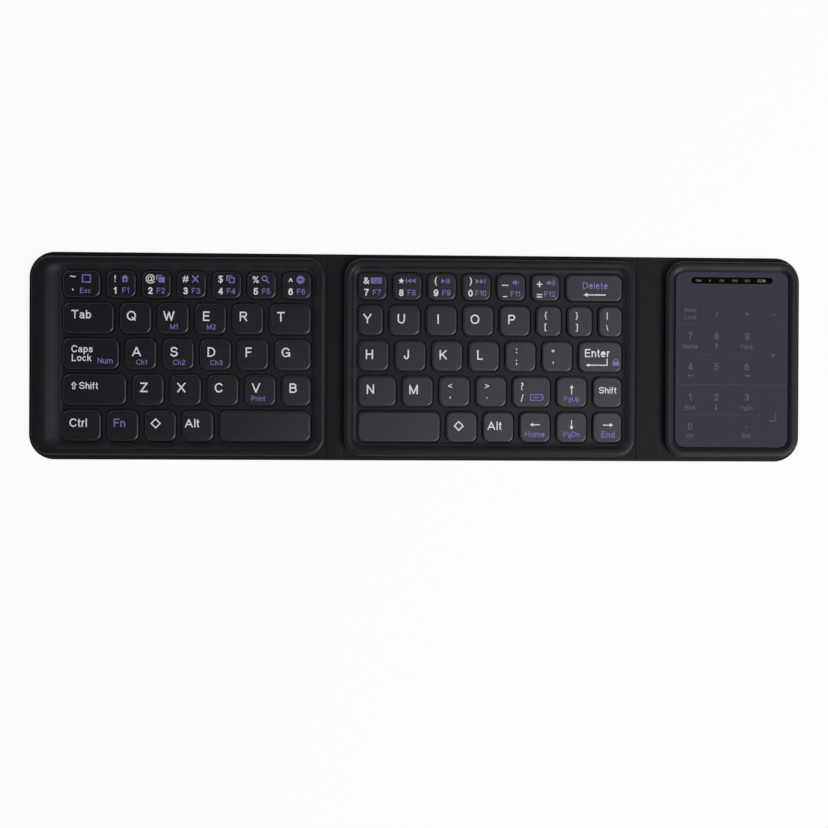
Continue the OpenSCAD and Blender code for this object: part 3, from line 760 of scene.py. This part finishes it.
def add_link(solid, place, opening, lean):
    """One frame of a scissor, tilted about Y."""
    half, thick = LINK_LENGTH / 2, LINK_THICK / 2
    rect = (-half + LINK_BAR, half - LINK_BAR, -opening / 2, opening / 2)
    outer, inner = (*grow(rect, LINK_BAR), LINK_RADII[0]), (*rect, LINK_RADII[1])
    turn = Matrix.Translation(place) @ Matrix.Rotation(lean, 4, "Y")
    solid.loft([[turn @ p for p in rounded_rect(*side, z)] for side, z in
                ((outer, -thick), (outer, thick), (inner, thick), (inner, -thick))], closed=True)


def add_switches(node, side):
    """The rubber dome and scissor links under each keycap of a node."""
    floor = plan(f"membrane_{side}")[2]
    ceiling = plan(node)[2] - CAP_WALL
    rise = ceiling - floor - 2 * KEY_GAP
    lean = math.asin((rise - LINK_THICK) / LINK_LENGTH) * LEAN_SHARE
    domes, links = Solid(), Solid()
    for x0, x1, y0, y1 in separate_rects(node):
        place = Vector(((x0 + x1) / 2, (y0 + y1) / 2, (floor + ceiling) / 2))
        add_dome(domes, place.x, place.y, floor)
        add_link(links, place, LINK_SPAN, lean)
        add_link(links, place, LINK_SPAN + 2 * LINK_BAR + LINK_PLAY, -lean)
    for solid, kind, slot in ((domes, "domes", "dome_rubber"), (links, "scissors", "scissor_plastic")):
        made = solid.piece(f"{kind}_{node}", slot)
        stand_for(made, f"{kind}_{side}")
        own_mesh(made)


# --- printing ---

INK_HEIGHT = 0.016 * MM      # how far a print stands out
INK_DEPTH = 0.010 * MM       # how far it reaches into what it is printed on


def box(x0, y0, x1, y1):
    return [(x0, y0), (x1, y0), (x1, y1), (x0, y1)]


def band(x, y, radius, width, start, stop, count=10):
    """A bent band round a point, from one angle to another in degrees."""
    angles = [math.radians(start + (stop - start) * i / count) for i in range(count + 1)]
    outer, inner = ([(x + r * math.cos(a), y + r * math.sin(a)) for a in angles]
                    for r in (radius + width / 2, radius - width / 2))
    return outer + inner[::-1]


def arrow(length, degrees, head, width, shaft):
    """An arrow that points along an angle."""
    end, neck = length / 2, length / 2 - head
    a = math.radians(degrees)
    return [(x * math.cos(a) - y * math.sin(a), x * math.sin(a) + y * math.cos(a)) for x, y in
            ((-end, -shaft / 2), (neck, -shaft / 2), (neck, -width / 2), (end, 0), (neck, width / 2),
             (neck, shaft / 2), (-end, shaft / 2))]


def star(points, outer, inner):
    reach = [(inner if i % 2 else outer, math.pi * i / points) for i in range(2 * points)]
    return [(r * math.sin(a), r * math.cos(a)) for r, a in reach]


def path(text):
    """The groups of numbers in a text such as "0,0 0.5,1", most often the points along a line."""
    return [tuple(map(float, group.split(","))) for group in text.split()]


def sign_outlines():
    """The small signs, each as outlines in millimetres about its middle. One inside another is a hole."""
    speaker = path("-1.9,-0.5 -1.1,-0.5 -0.1,-1.25 -0.1,1.25 -1.1,0.5 -1.9,0.5")
    back_page = path("-1.9,-0.7 -1.9,1.75 0.7,1.75 0.7,1.25 -1.2,1.25 -1.2,-0.7")
    skip = [box(-2.4, -1.05, -1.95, 1.05), path("-1.75,0 0.05,1.05 0.05,-1.05"),
            path("0.25,0 2.05,1.05 2.05,-1.05")]
    signs = {
        "square": [box(-2, -1.9, 2, 1.9), box(-1.5, -1.4, 1.5, 1.4)],
        "home": [path("-1.7,0.15 0,1.75 1.7,0.15 1.15,0.15 1.15,-1.65 -1.15,-1.65 -1.15,0.15"),
                 box(-0.4, -1.3, 0.4, -0.2)],
        "copy": [back_page, box(-0.75, -1.75, 2, 0.85)],
        "cut": [path("0.45,0 1.6,1.35 1.15,1.7 0,0.5 -1.15,1.7 -1.6,1.35 "
                     "-0.45,0 -1.6,-1.35 -1.15,-1.7 0,-0.5 1.15,-1.7 1.6,-1.35")],
        "paste": [back_page, box(-0.75, -1.75, 1.9, 0.85), box(-0.3, -1.3, 1.45, 0.4)],
        "search": [circle(-0.4, 0.45, 1.35), circle(-0.4, 0.45, 0.85),
                   path("0.72,-0.32 1.85,-1.4 1.5,-1.8 0.35,-0.68")],
        "globe": [circle(0, 0, 1.85), box(-1.15, -0.3, 1.15, 0.3)],
        "keyboard": [box(-2.5, -1.4, 2.5, 1.3), box(-1.3, -1, 1.3, -0.65), *[
            box(0.9 * i - 2, y, 0.9 * i - 1.5, y + 0.4) for y in (0.35, -0.35) for i in range(5)]],
        "previous": skip,
        "next": [[(-x, y) for x, y in loop] for loop in skip],
        "play": [path("-2,1.05 -2,-1.05 -0.15,0"), box(0.2, -1.05, 0.75, 1.05), box(1.25, -1.05, 1.8, 1.05)],
        "quieter": [speaker, band(-0.1, 0, 0.85, 0.35, -45, 45)],
        "louder": [speaker, *[band(-0.1, 0, radius, 0.32, -45, 45) for radius in (0.75, 1.4, 2.05)]],
        "padlock": [box(-1.55, -1.8, 1.55, 0.2), band(0, 0.38, 0.98, 0.38, 0, 180)],
        "charge": [box(-3.1, -1.5, 2.8, 1.5), box(-2.7, -1.1, 2.4, 1.1), box(2.92, -0.6, 3.25, 0.6),
                   box(-1.5, -0.25, 1.2, 0.25)],
        "battery": [box(-1.8, -0.55, 1.6, 0.55), box(-1.55, -0.32, 0.6, 0.32), box(1.7, -0.25, 1.95, 0.25)],
        "shift": [path("0,1.75 1.35,0.25 0.62,0.25 0.62,-1.7 -0.62,-1.7 -0.62,0.25 -1.35,0.25"),
                  path("0,1.15 0.62,0.5 0.3,0.5 0.3,-1.35 -0.3,-1.35 -0.3,0.5 -0.62,0.5")],
        "lozenge": [[(0, r), (r, 0), (0, -r), (-r, 0)] for r in (2.4, 1.6)],
        "erase": [arrow(10.3, 180, 1.9, 1.7, 0.5)],
        "return": [path("-5.2,-1.35 -3.4,-0.6 -3.4,-1.12 4.55,-1.12 4.55,1.6 5.05,1.6 5.05,-1.58 -3.4,-1.58 "
                        "-3.4,-2.1")],
        "small_return": [path("-1.6,-2.2 -0.6,-1.7 -0.6,-2.05 1.2,-2.05 1.2,2.2 1.5,2.2 1.5,-2.35 -0.6,-2.35 "
                              "-0.6,-2.7")],
        "minus": [box(-0.9, -0.15, 0.9, 0.15)],
        "star": [star(5, 1.45, 0.62)],
        "bar": [box(-1.45, -0.22, 1.45, 0.22)],
        "short_bar": [box(-1, -0.22, 1, 0.22)],
        "unit": [box(-0.5, -0.5, 0.5, 0.5)],
    }
    for angle, way, length in ((0, "right", 4.7), (90, "up", 4.4), (180, "left", 4.7), (270, "down", 4.4)):
        signs[way] = [arrow(length, angle, 1.5, 1.7, 0.42)]
        signs[f"small_{way}"] = [arrow(2.8, angle, 1.1, 1.3, 0.4)]
    return signs


SIGNS = sign_outlines()


def outline_mesh(curve):
    """A filled curve as a solid of unit thickness."""
    curve.dimensions = "2D"
    curve.fill_mode = "BOTH"
    curve.extrude = 0.5
    shape = add_object("shape", curve)
    mesh = evaluated_mesh(shape)
    bpy.data.objects.remove(shape)
    bm = bmesh.new()
    bm.from_mesh(mesh)
    bmesh.ops.remove_doubles(bm, verts=bm.verts, dist=1e-5)
    bm.to_mesh(mesh)
    bm.free()
    mesh.materials.clear()
    return mesh


# The letters are drawn with a pen of even width. A glyph is its width, as a share of the height of a
# capital, and then its strokes, each after a bar, on a unit square that the pen's outer edge touches.
# A stroke is points x,y and arcs x,y,radius x,radius y,first angle,last angle. A width of 0 is the pen's.
GLYPHS = {
    "A": "0.93 | 0,0 0.5,1 1,0 | 0.2,0.3 0.8,0.3",
    "B": "0.76 | 0,0.54 0,1 0.58,1 0.58,0.77,0.34,0.23,90,-90 0,0.54 "
         "| 0,0.54 0.6,0.54 0.6,0.27,0.4,0.27,90,-90 0,0 0,0.54",
    "C": "0.86 | 0.52,0.5,0.52,0.5,40,320",
    "D": "0.8 | 0,0.5 0,1 0.4,1 0.4,0.5,0.6,0.5,90,-90 0,0 0,0.5",
    "E": "0.68 | 1,1 0,1 0,0 1,0 | 0,0.53 0.9,0.53",
    "F": "0.64 | 1,1 0,1 0,0 | 0,0.5 0.86,0.5",
    "G": "0.89 | 0.5,0.5,0.5,0.5,38,328 | 1,0.06 1,0.44 0.58,0.44",
    "H": "0.76 | 0,0 0,1 | 1,0 1,1 | 0,0.52 1,0.52",
    "I": "0 | 0.5,0 0.5,1",
    "J": "0.54 | 1,1 1,0.28 0.5,0.28,0.5,0.28,0,-180",
    "K": "0.78 | 0,0 0,1 | 0.95,1 0,0.34 | 0.33,0.57 1,0",
    "L": "0.6 | 0,1 0,0 1,0",
    "M": "0.9 | 0,0 0,1 0.5,0 1,1 1,0",
    "N": "0.77 | 0,0 0,1 1,0 1,1",
    "O": "0.94 | 0.5,0.5,0.5,0.5,0,360",
    "P": "0.73 | 0,0 0,1 0.6,1 0.6,0.73,0.4,0.27,90,-90 0,0.46",
    "Q": "0.94 | 0.5,0.5,0.5,0.5,0,360 | 0.62,0.28 0.98,-0.02",
    "R": "0.78 | 0,0 0,1 0.6,1 0.6,0.75,0.38,0.25,90,-90 0,0.5 | 0.5,0.5 1,0",
    "S": "0.79 | 0.5,0.755,0.46,0.245,20,270 0.5,0.255,0.5,0.255,90,-162",
    "T": "0.8 | 0,1 1,1 | 0.5,0 0.5,1",
    "U": "0.77 | 0,1 0,0.34 0.5,0.34,0.5,0.34,180,360 1,1",
    "V": "0.87 | 0,1 0.5,0 1,1",
    "W": "1.16 | 0,1 0.26,0 0.5,0.95 0.74,0 1,1",
    "X": "0.86 | 0,0 1,1 | 0,1 1,0",
    "Y": "0.86 | 0,1 0.5,0.44 1,1 | 0.5,0.44 0.5,0",
    "Z": "0.77 | 0,1 1,1 0,0 1,0",
    "a": "0.6 | 0.47,0.5,0.43,0.19,162,0 0.9,0.06 0.98,0 "
         "| 0.9,0.42 0.42,0.37 0.42,0.185,0.42,0.185,90,270 0.45,0.28,0.45,0.28,270,350",
    "b": "0.6 | 0,0 0,1 | 0.5,0.345,0.5,0.345,0,360",
    "c": "0.55 | 0.52,0.345,0.52,0.345,42,318",
    "e": "0.6 | 0.02,0.36 1,0.36 0.5,0.345,0.5,0.345,3,312",
    "f": "0.33 | 0.95,0.76,0.55,0.24,95,180 0.4,0 | 0,0.69 0.9,0.69",
    "g": "0.6 | 0.5,0.345,0.5,0.345,0,360 | 1,0.69 1,-0.1 0.5,-0.1,0.5,0.23,0,-155",
    "h": "0.56 | 0,0 0,1 | 0,0.4 0.5,0.4,0.5,0.29,180,0 1,0",
    "i": "0 | 0.5,0 0.5,0.69 | 0.5,0.99 0.5,1",
    "k": "0.56 | 0,0 0,1 | 0.92,0.69 0,0.22 | 0.36,0.42 1,0",
    "l": "0 | 0.5,0 0.5,1",
    "m": "0.92 | 0,0 0,0.69 | 0,0.42 0.25,0.42,0.25,0.27,180,0 0.5,0 "
         "| 0.5,0.42 0.75,0.42,0.25,0.27,180,0 1,0",
    "n": "0.56 | 0,0 0,0.69 | 0,0.4 0.5,0.4,0.5,0.29,180,0 1,0",
    "o": "0.62 | 0.5,0.345,0.5,0.345,0,360",
    "p": "0.6 | 0,0.69 0,-0.33 | 0.5,0.345,0.5,0.345,0,360",
    "r": "0.34 | 0,0 0,0.69 | 0,0.36 0.95,0.36,0.95,0.33,180,92",
    "s": "0.54 | 0.5,0.52,0.44,0.17,25,270 0.5,0.175,0.5,0.175,90,-157",
    "t": "0.33 | 0.4,0.92 0.4,0.14 0.9,0.14,0.5,0.14,180,272 | 0,0.69 0.95,0.69",
    "u": "0.56 | 0,0.69 0,0.29 0.5,0.29,0.5,0.29,180,360 | 1,0.69 1,0",
    "0": "0.66 | 0.5,0.5,0.5,0.5,0,360",
    "1": "0.36 | 0,0.76 1,1 1,0",
    "2": "0.66 | 0.5,0.71,0.48,0.29,168,-38 0,0 1,0",
    "3": "0.66 | 0.48,0.76,0.44,0.24,150,-90 0.34,0.52 | 0.34,0.52 0.48,0.52 0.48,0.26,0.52,0.26,90,-155",
    "4": "0.7 | 0.76,0 0.76,1 0,0.27 1,0.27",
    "5": "0.66 | 0.94,1 0.16,1 0.07,0.5 0.48,0.32,0.52,0.32,135,-155",
    "6": "0.66 | 0.5,0.32,0.5,0.32,0,360 | 0.55,0.55,0.55,0.45,50,180 0,0.32",
    "7": "0.66 | 0,1 1,1 0.5,0.5 0.32,0",
    "8": "0.66 | 0.5,0.76,0.42,0.24,0,360 | 0.5,0.26,0.5,0.26,0,360",
    "9": "0.66 | 0.5,0.68,0.5,0.32,0,360 | 1,0.68 0.45,0.45,0.55,0.45,0,-130",
}
PEN = 0.142
BOLD = 0.19
LETTER_GAP = 0.13            # between two letters, as a share of the height of a capital
SHARP_TURN = math.radians(100)
ARC_STEP = 15                # degrees
MITRE_LIMIT = 0.3
FONT_CAPITAL = 0.682         # height of a capital of the built-in font at size 1
FONT_FATTER = 0.012


def stroke_points(stroke, size, half):
    """A stroke's points, with its arcs rounded out, on a glyph of that size."""
    points = []
    for part in path(stroke):
        steps = [part]
        if len(part) > 2:
            cx, cy, rx, ry, first, last = part
            count = max(4, round(abs(last - first) / ARC_STEP))
            turns = (math.radians(first + (last - first) * i / count) for i in range(count + 1))
            steps = [(cx + rx * math.cos(a), cy + ry * math.sin(a)) for a in turns]
        for x, y in steps:
            point = Vector((half + x * (size - 2 * half), half + y * (1 - 2 * half)))
            if not points or (point - points[-1]).length > 1e-4:
                points.append(point)
    return points


def split_at_sharp_turns(points):
    """Cuts a stroke where it turns back on itself, where a mitre would run out to a long point."""
    runs, run = [], [points[0]]
    for before, here, after in zip(points, points[1:], points[2:]):
        run.append(here)
        if (here - before).angle(after - here) > SHARP_TURN:
            runs.append(run)
            run = [here]
    run.append(points[-1])
    return runs + [run]


def ribbon(points, half, start_square, end_square):
    """Quads along a run of points, mitred where it bends."""
    ends = [(points[1] - points[0]).normalized(), (points[-1] - points[-2]).normalized()]
    closed = (points[0] - points[-1]).length < 1e-3
    points = points[:]
    if not closed:
        points[0] = points[0] - ends[0] * (half if start_square else 0)
        points[-1] = points[-1] + ends[1] * (half if end_square else 0)
    sides = []
    for i, here in enumerate(points):
        before = points[i - 1] if i else points[-2] if closed else None
        after = points[i + 1] if i + 1 < len(points) else points[1] if closed else None
        ways = [(b - a).normalized() for a, b in ((before, here), (here, after)) if None not in (a, b)]
        way = sum(ways, Vector((0, 0))).normalized()
        reach = half / max(MITRE_LIMIT, way.dot(ways[0]))
        across = Vector((-way.y, way.x)) * reach
        sides.append((here + across, here - across))
    return [[a[0], a[1], b[1], b[0]] for a, b in zip(sides, sides[1:])]


def glyph_mesh(char, pen):
    """A letter drawn with a pen of that width, as a flat-topped solid of unit thickness."""
    width, *strokes = GLYPHS[char].split("|")
    half = pen / 2
    faces = []
    for stroke in strokes:
        runs = split_at_sharp_turns(stroke_points(stroke, max(float(width), pen), half))
        for i, run in enumerate(runs):
            faces += ribbon(run, half, i == 0, i == len(runs) - 1)
            if i:
                faces.append([run[0] + Vector(p) for p in circle(0, 0, half, 12)])
    points, indices = [], []
    for face in faces:
        indices.append(list(range(len(points), len(points) + len(face))))
        points += face
    flat, _, found, _, _, origin = delaunay_2d_cdt(points, [], indices, 1, 1e-4)
    bm = bmesh.new()
    verts = [bm.verts.new((p.x, p.y, -0.5)) for p in flat]
    for face, sources in zip(found, origin):
        if sources:
            bm.faces.new([verts[v] for v in face])
    bmesh.ops.delete(bm, geom=[v for v in bm.verts if not v.link_faces], context="VERTS")
    raised = bmesh.ops.extrude_face_region(bm, geom=bm.faces[:])["geom"]
    bmesh.ops.translate(bm, vec=(0, 0, 1), verts=[v for v in raised if isinstance(v, bmesh.types.BMVert)])
    bmesh.ops.recalc_face_normals(bm, faces=bm.faces)
    return to_mesh(bm, "glyph")


class Press:
    """Prints words and signs. Each letter and sign is made once and then copied to its places."""

    def __init__(self):
        self.made = {}
        self.sheets = {}

    def glyph(self, char, pen):
        """A letter whose capitals are 1 high. One that isn't drawn here comes from the built-in font."""
        if (char, pen) not in self.made:
            if char in GLYPHS:
                mesh = glyph_mesh(char, pen)
            else:
                curve = bpy.data.curves.new("mark", "FONT")
                curve.body = char
                curve.size = 1 / FONT_CAPITAL
                curve.offset = FONT_FATTER
                curve.resolution_u = 4
                mesh = outline_mesh(curve)
            self.made[char, pen] = mesh
        return self.made[char, pen]

    def sign(self, name):
        if name not in self.made:
            curve = bpy.data.curves.new("sign", "CURVE")
            for loop in SIGNS[name]:
                spline = curve.splines.new("POLY")
                spline.points.add(len(loop) - 1)
                for point, (x, y) in zip(spline.points, loop):
                    point.co = (x, y, 0, 1)
                spline.use_cyclic_u = True
            self.made[name] = outline_mesh(curve)
        return self.made[name]

    def stamp(self, node, ink_name, mesh, x, y, z, *scale):
        """Copies a mesh onto a node's sheet, with its origin at x, y on a surface at height z.
        The scale is one number, or one along x and one along y."""
        sheet, inks = self.sheets.setdefault(node, (bmesh.new(), []))
        if ink_name not in inks:
            inks.append(ink_name)
        thickness = INK_HEIGHT + INK_DEPTH
        verts, faces = len(sheet.verts), len(sheet.faces)
        sheet.from_mesh(mesh)
        sheet.verts.ensure_lookup_table()
        sheet.faces.ensure_lookup_table()
        place = Matrix.Translation((x, y, z - INK_DEPTH + thickness / 2))
        matrix = place @ Matrix.Diagonal((scale[0], scale[-1], thickness, 1))
        bmesh.ops.transform(sheet, matrix=matrix, verts=sheet.verts[verts:])
        for face in sheet.faces[faces:]:
            face.material_index = inks.index(ink_name)

    def line(self, node, x0, x1, y0, y1, z):
        """A fine line that fills a rectangle."""
        self.stamp(node, "line", self.sign("unit"), (x0 + x1) / 2, (y0 + y1) / 2, z, x1 - x0, y1 - y0)

    def write(self, node, ink_name, text, x, y, z, height, align="middle", pen=PEN):
        """Writes a word with capitals of that height whose middle is at y.
        Its left edge or its middle is at x, or with "centre" the middle of its own outline is at x, y."""
        letters, reach = [], 0
        for char in text:
            mesh = self.glyph(char, pen)
            xs, ys = ([v.co[axis] for v in mesh.vertices] for axis in (0, 1))
            letters.append((mesh, reach - min(xs)))
            reach += max(xs) - min(xs) + LETTER_GAP
        shift_x = 0 if align == "left" else (reach - LETTER_GAP) / 2
        shift_y = (min(ys) + max(ys)) / 2 if align == "centre" else 0.5
        for mesh, at in letters:
            self.stamp(node, ink_name, mesh, x + (at - shift_x) * height, y - shift_y * height, z, height)

    def finish(self):
        """Turns each sheet into an object that rides with its node."""
        for node, (sheet, inks) in self.sheets.items():
            mesh = to_mesh(sheet, "print")
            for ink_name in inks:
                mesh.materials.append(INK[ink_name])
            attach(add_object(f"print_{node}", mesh), BODY_OF[node])
        for mesh in self.made.values():
            bpy.data.meshes.remove(mesh)


LETTER, WORD, LOW_WORD, SUB_WORD, DIGIT = 4.35, 3.85, 3.2, 2.4, 3.1   # heights of capitals in mm


def white(what, x, y, height=0, align="middle", ink_name="white"):
    """A print on a keycap: a word or sign, mm from the cap's left and from its rear, and for a word the
    height of its capitals and its alignment. A sign is placed by its middle."""
    return ink_name, what, x, y, height, align


def blue(*mark, align="middle"):
    """The same in blue."""
    return white(*mark, align=align, ink_name="blue")


def letter(text, x, y):
    return [white(text, x, y, LETTER)]


def row(letters, x=5.5, y=6.2, below_x=7.8, **below):
    """A row of letter keys, some with a blue word below the letter."""
    words = {char: [blue(word, below_x, 11.0, SUB_WORD)] for char, word in below.items()}
    return [letter(char, x, y) + words.get(char, []) for char in letters]


def pair(upper, lower, x=5.5, height=3.0):
    """A key with one mark above another."""
    return [white(upper, x, 4.8, height, "centre"), white(lower, x, 10.2, height, "centre")]


def number(upper, digit, sign):
    """A number key, with a sign and its function key in blue."""
    return [white(upper, 4.15, 4.0, 0 if upper in SIGNS else 3.0, "centre"),
            white(digit, 4.15, 9.35, DIGIT, "centre"),
            blue(sign, 8.6, 3.9), blue(f"F{int(digit) or 10}", 8.9, 9.3, 2.6)]


def arrow_key(sign, word, height=SUB_WORD):
    return [[white(sign, 7.4, 6.2), blue(word, 7.4, 10.5, height)]]


def modifiers(side, x, y):
    """The lozenge key and the Alt key next to it."""
    return {f"key_command_{side}": [[white("lozenge", 5.3 + x, 6.3 + y)]],
            f"key_alt_{side}": [[white("Alt", 4.8 + x, 6.1 + y, WORD)]]}


PRINTS = {
    "key_esc": [[white("~", 4.9, 3.2, 3.2, "centre"), white("`", 4.9, 9.2, 3.4, "centre"),
                 blue("square", 11.0, 4.1), blue("Esc", 10.6, 9.5, 2.4)]],
    "keys_number_left": list(map(number, "!@#$%^", "123456",
                                 ("home", "copy", "cut", "paste", "search", "globe"))),
    "keys_number_right": [*map(number, ("&", "star", "(", ")"), "7890",
                               ("keyboard", "previous", "play", "next")),
                          [white("bar", 4.15, 5.6), white("short_bar", 4.15, 10.8), blue("quieter", 9.5, 4.3),
                           blue("F11", 8.9, 9.5, 2.6)],
                          [white("+", 4.15, 5.0, 3.6, "centre"), white("=", 4.15, 10.3, 3.4, "centre"),
                           blue("louder", 9.2, 4.3), blue("F12", 8.9, 9.5, 2.6)]],
    "key_delete": [[blue("Delete", 14.0, 5.4, 3.1), white("erase", 13.7, 9.7)]],
    "key_tab": [[white("Tab", 4.4, 5.7, WORD, "left")]],
    "keys_upper_left": row("QWERT", W="M1", E="M2"),
    "keys_upper_right": [letter("Y", 4.6, 6.7), *row("UIOP", 5.9, 6.7),
                         *[pair(*marks, 4.7, 2.6) for marks in ("{[", "}]")], pair("|", "\\", 4.4, 2.6)],
    "key_caps_lock": [[white("Caps", 4.4, 5.1, LOW_WORD, "left"), white("Lock", 4.6, 9.1, LOW_WORD, "left"),
                       blue("Num", 16.2, 10.4, 2.7, align="left")]],
    "keys_home_left": row("ASDFG", A="Ch1", S="Ch2", D="Ch3"),
    "keys_home_right": [*row("HJKL", 5.6, 6.8), pair(":", ";"), pair('"', "'")],
    "key_enter": [[white("Enter", 3.3, 5.6, 3.75, "left"), white("return", 8.8, 9.8),
                   blue("padlock", 17.6, 9.6)]],
    "key_shift_left": [[white("shift", 5.6, 5.5), white("Shift", 7.9, 5.5, 3.15, "left")]],
    "keys_lower_left": row("ZXCVB", below_x=6.5, V="Print"),
    "keys_lower_right": [letter("N", 6.1, 6.5), letter("M", 5.6, 6.5), *[pair(*marks, 5.5, 2.7) for marks in
                         ("<,", ">.")], pair("?", "/", 4.8, 3.2) + [blue("charge", 11.5, 9.9)]],
    "key_up": arrow_key("up", "PgUp", 2.25),
    "key_shift_right": [[white("Shift", 7.1, 6.4, 3.0)]],
    "key_control": [[white("Ctrl", 3.7, 6.1, WORD, "left")]],
    "key_function": [[blue("Fn", 3.3, 6.1, WORD, align="left")]],
    **modifiers("left", 0, 0),
    **modifiers("right", 0.8, 0.6),
    "key_arrow_left": arrow_key("left", "Home", 2.75),
    "key_arrow_down": arrow_key("down", "PgDn"),
    "key_arrow_right": arrow_key("right", "End", 2.9),
}
PRINT_BACK = 0.3             # all prints sit this much further to the left and the rear, in mm


def print_keys(press):
    for node, caps in PRINTS.items():
        (_, _, _, rear), _, top = plan(node)
        for (left, *_), marks in zip(separate_rects(node), caps):
            for ink_name, what, x, y, height, align in marks:
                place = (left + (x - PRINT_BACK) * MM, rear - (y - PRINT_BACK) * MM, top)
                if height:
                    pen = BOLD if what.isdigit() else PEN
                    press.write(node, ink_name, what, *place, height * MM, align, pen)
                else:
                    press.stamp(node, ink_name, press.sign(what), *place, MM)


# The touch pad's columns and rows, in mm from the left and the rear of the glass
PAD_COLUMNS = (7.3, 19.5, 33.7, 46.0)
PAD_LINES = ((24.9, True), (38.8, False), (52.5, True), (66.3, False))   # and whether it reaches the far side
PAD_UPRIGHTS = ((13.4, 66.3), (26.6, 80.0), (39.8, 80.0))   # fainter lines, and how far forward each runs
PAD_UPRIGHT_START = 15.0
PAD_SHORT_LINE = 39.8
PAD_MARGIN = 0.3
PAD_RULE = 0.16
PAD_FAINT_RULE = 0.06
PAD_LABELS = [   # word, column, row, height of its capitals
    ("Num", 0, 18.1, 2.0), ("Lock", 0, 21.5, 2.0),
    ("/", 1, 20.1, 2.8), ("*", 2, 19.9, 2.6), ("+", 3, 38.8, 2.4),
    *[(digit, i, y, 3.2) for digits, y in (("789", 30.2), ("456", 44.3), ("123", 58.3))
      for i, digit in enumerate(digits)],
    ("Home", 0, 34.9, 2.1), ("PgUp", 2, 34.9, 1.8), ("End", 0, 63.1, 2.1), ("PgDn", 2, 63.2, 1.8),
    ("0", 0, 71.9, 3.0), ("Ins", 0, 76.0, 2.0), (".", 2, 72.0, 3.4), ("Del", 2, 76.0, 2.1),
]
PAD_SIGNS = [("small_up", 1, 34.6), ("small_left", 0, 48.4), ("small_right", 2, 48.4),
             ("small_down", 1, 63.1), ("minus", 3, 20.0), ("small_return", 3, 67.0)]
WINDOW_MARKS = [("Num", 3.4), ("A", 8.6), ("Ch1", 14.1), ("Ch2", 20.1), ("Ch3", 26.1)]   # mm from its left
WINDOW_BATTERY = 32.7


def print_pad(press):
    node = "touch_glass"
    (edge, right, front, rear), _, top = plan(node)
    left, rear = edge - PRINT_BACK * MM, rear + PRINT_BACK * MM
    for text, column, y, height in PAD_LABELS:
        place = (left + PAD_COLUMNS[column] * MM, rear - y * MM, top)
        press.write(node, "grey", text, *place, height * MM, "centre" if text in "/*+." else "middle")
    for name, column, y in PAD_SIGNS:
        press.stamp(node, "grey", press.sign(name), left + PAD_COLUMNS[column] * MM, rear - y * MM, top, MM)
    margin, half, thin = PAD_MARGIN * MM, PAD_RULE * MM / 2, PAD_FAINT_RULE * MM / 2
    for y, full in PAD_LINES:
        y = rear - y * MM
        stop = right - margin if full else left + PAD_SHORT_LINE * MM
        press.line(node, edge + margin, stop, y - half, y + half, top)
    for x, stop in PAD_UPRIGHTS:
        x = left + x * MM
        stop = max(rear - stop * MM, front + margin)
        press.line(node, x - thin, x + thin, stop, rear - PAD_UPRIGHT_START * MM, top - INK_HEIGHT / 4)


def print_window(press):
    node = "indicator_window"
    (left, _, y0, y1), _, top = plan(node)
    for text, x in WINDOW_MARKS:
        press.write(node, "mark", text, left + x * MM, (y0 + y1) / 2, top, MM)
    press.stamp(node, "mark", press.sign("battery"), left + WINDOW_BATTERY * MM, (y0 + y1) / 2, top, MM)


# --- backdrop ---

FLOOR_RADIUS = 2.4
FLOOR_RINGS = 4
WALL_RADIUS = 3.4
WALL_HEIGHT = 2.6
BEND_RINGS = 10
BACKDROP_SIDES = 96
FLOOR_GAP = 0.02 * MM


def add_backdrop():
    """White floor that turns up into a round wall."""
    bend = WALL_RADIUS - FLOOR_RADIUS
    profile = [(FLOOR_RADIUS * i / FLOOR_RINGS, 0) for i in range(1, FLOOR_RINGS + 1)]
    profile += [(FLOOR_RADIUS + bend * math.sin(a), bend * (1 - math.cos(a)))
                for a in (math.pi / 2 * i / BEND_RINGS for i in range(1, BEND_RINGS + 1))]
    profile += [(WALL_RADIUS, WALL_HEIGHT)]
    sheet = Solid()
    rings = sheet.loft([[(*point, z) for point in circle(0, 0, r, BACKDROP_SIDES)] for r, z in profile[::-1]])
    sheet.bm.faces.new(rings[-1])
    for face in sheet.bm.faces:
        face.smooth = True
    mesh = to_mesh(sheet.bm, "backdrop")
    mesh.materials.append(backdrop_white())
    backdrop = add_object("backdrop", mesh)
    backdrop.location.z = cad_box[0].z - FLOOR_GAP


# --- scene ---

KEYS = {"middle": [], "left": []}
for joint in frame["joints"]:
    if joint["name"].startswith("press_"):
        KEYS[joint["parent"]].append((joint["child"], joint["name"]))

bpy.context.scene.view_settings.view_transform = "Standard"
add_camera()
add_light()
add_backdrop()
finish_cad_nodes()
add_cover()
add_key_tray("frame_left", [node for node, _ in KEYS["left"]], wide=True)
add_key_tray("frame_middle", [node for node, _ in KEYS["middle"]])
add_pad_tray()
add_touch_glass()
for panel, keys in KEYS.items():
    for key_node, slide in keys:
        add_keycaps(key_node)
        add_switches(key_node, panel)
printing_press = Press()
print_keys(printing_press)
print_pad(printing_press)
print_window(printing_press)
printing_press.finish()
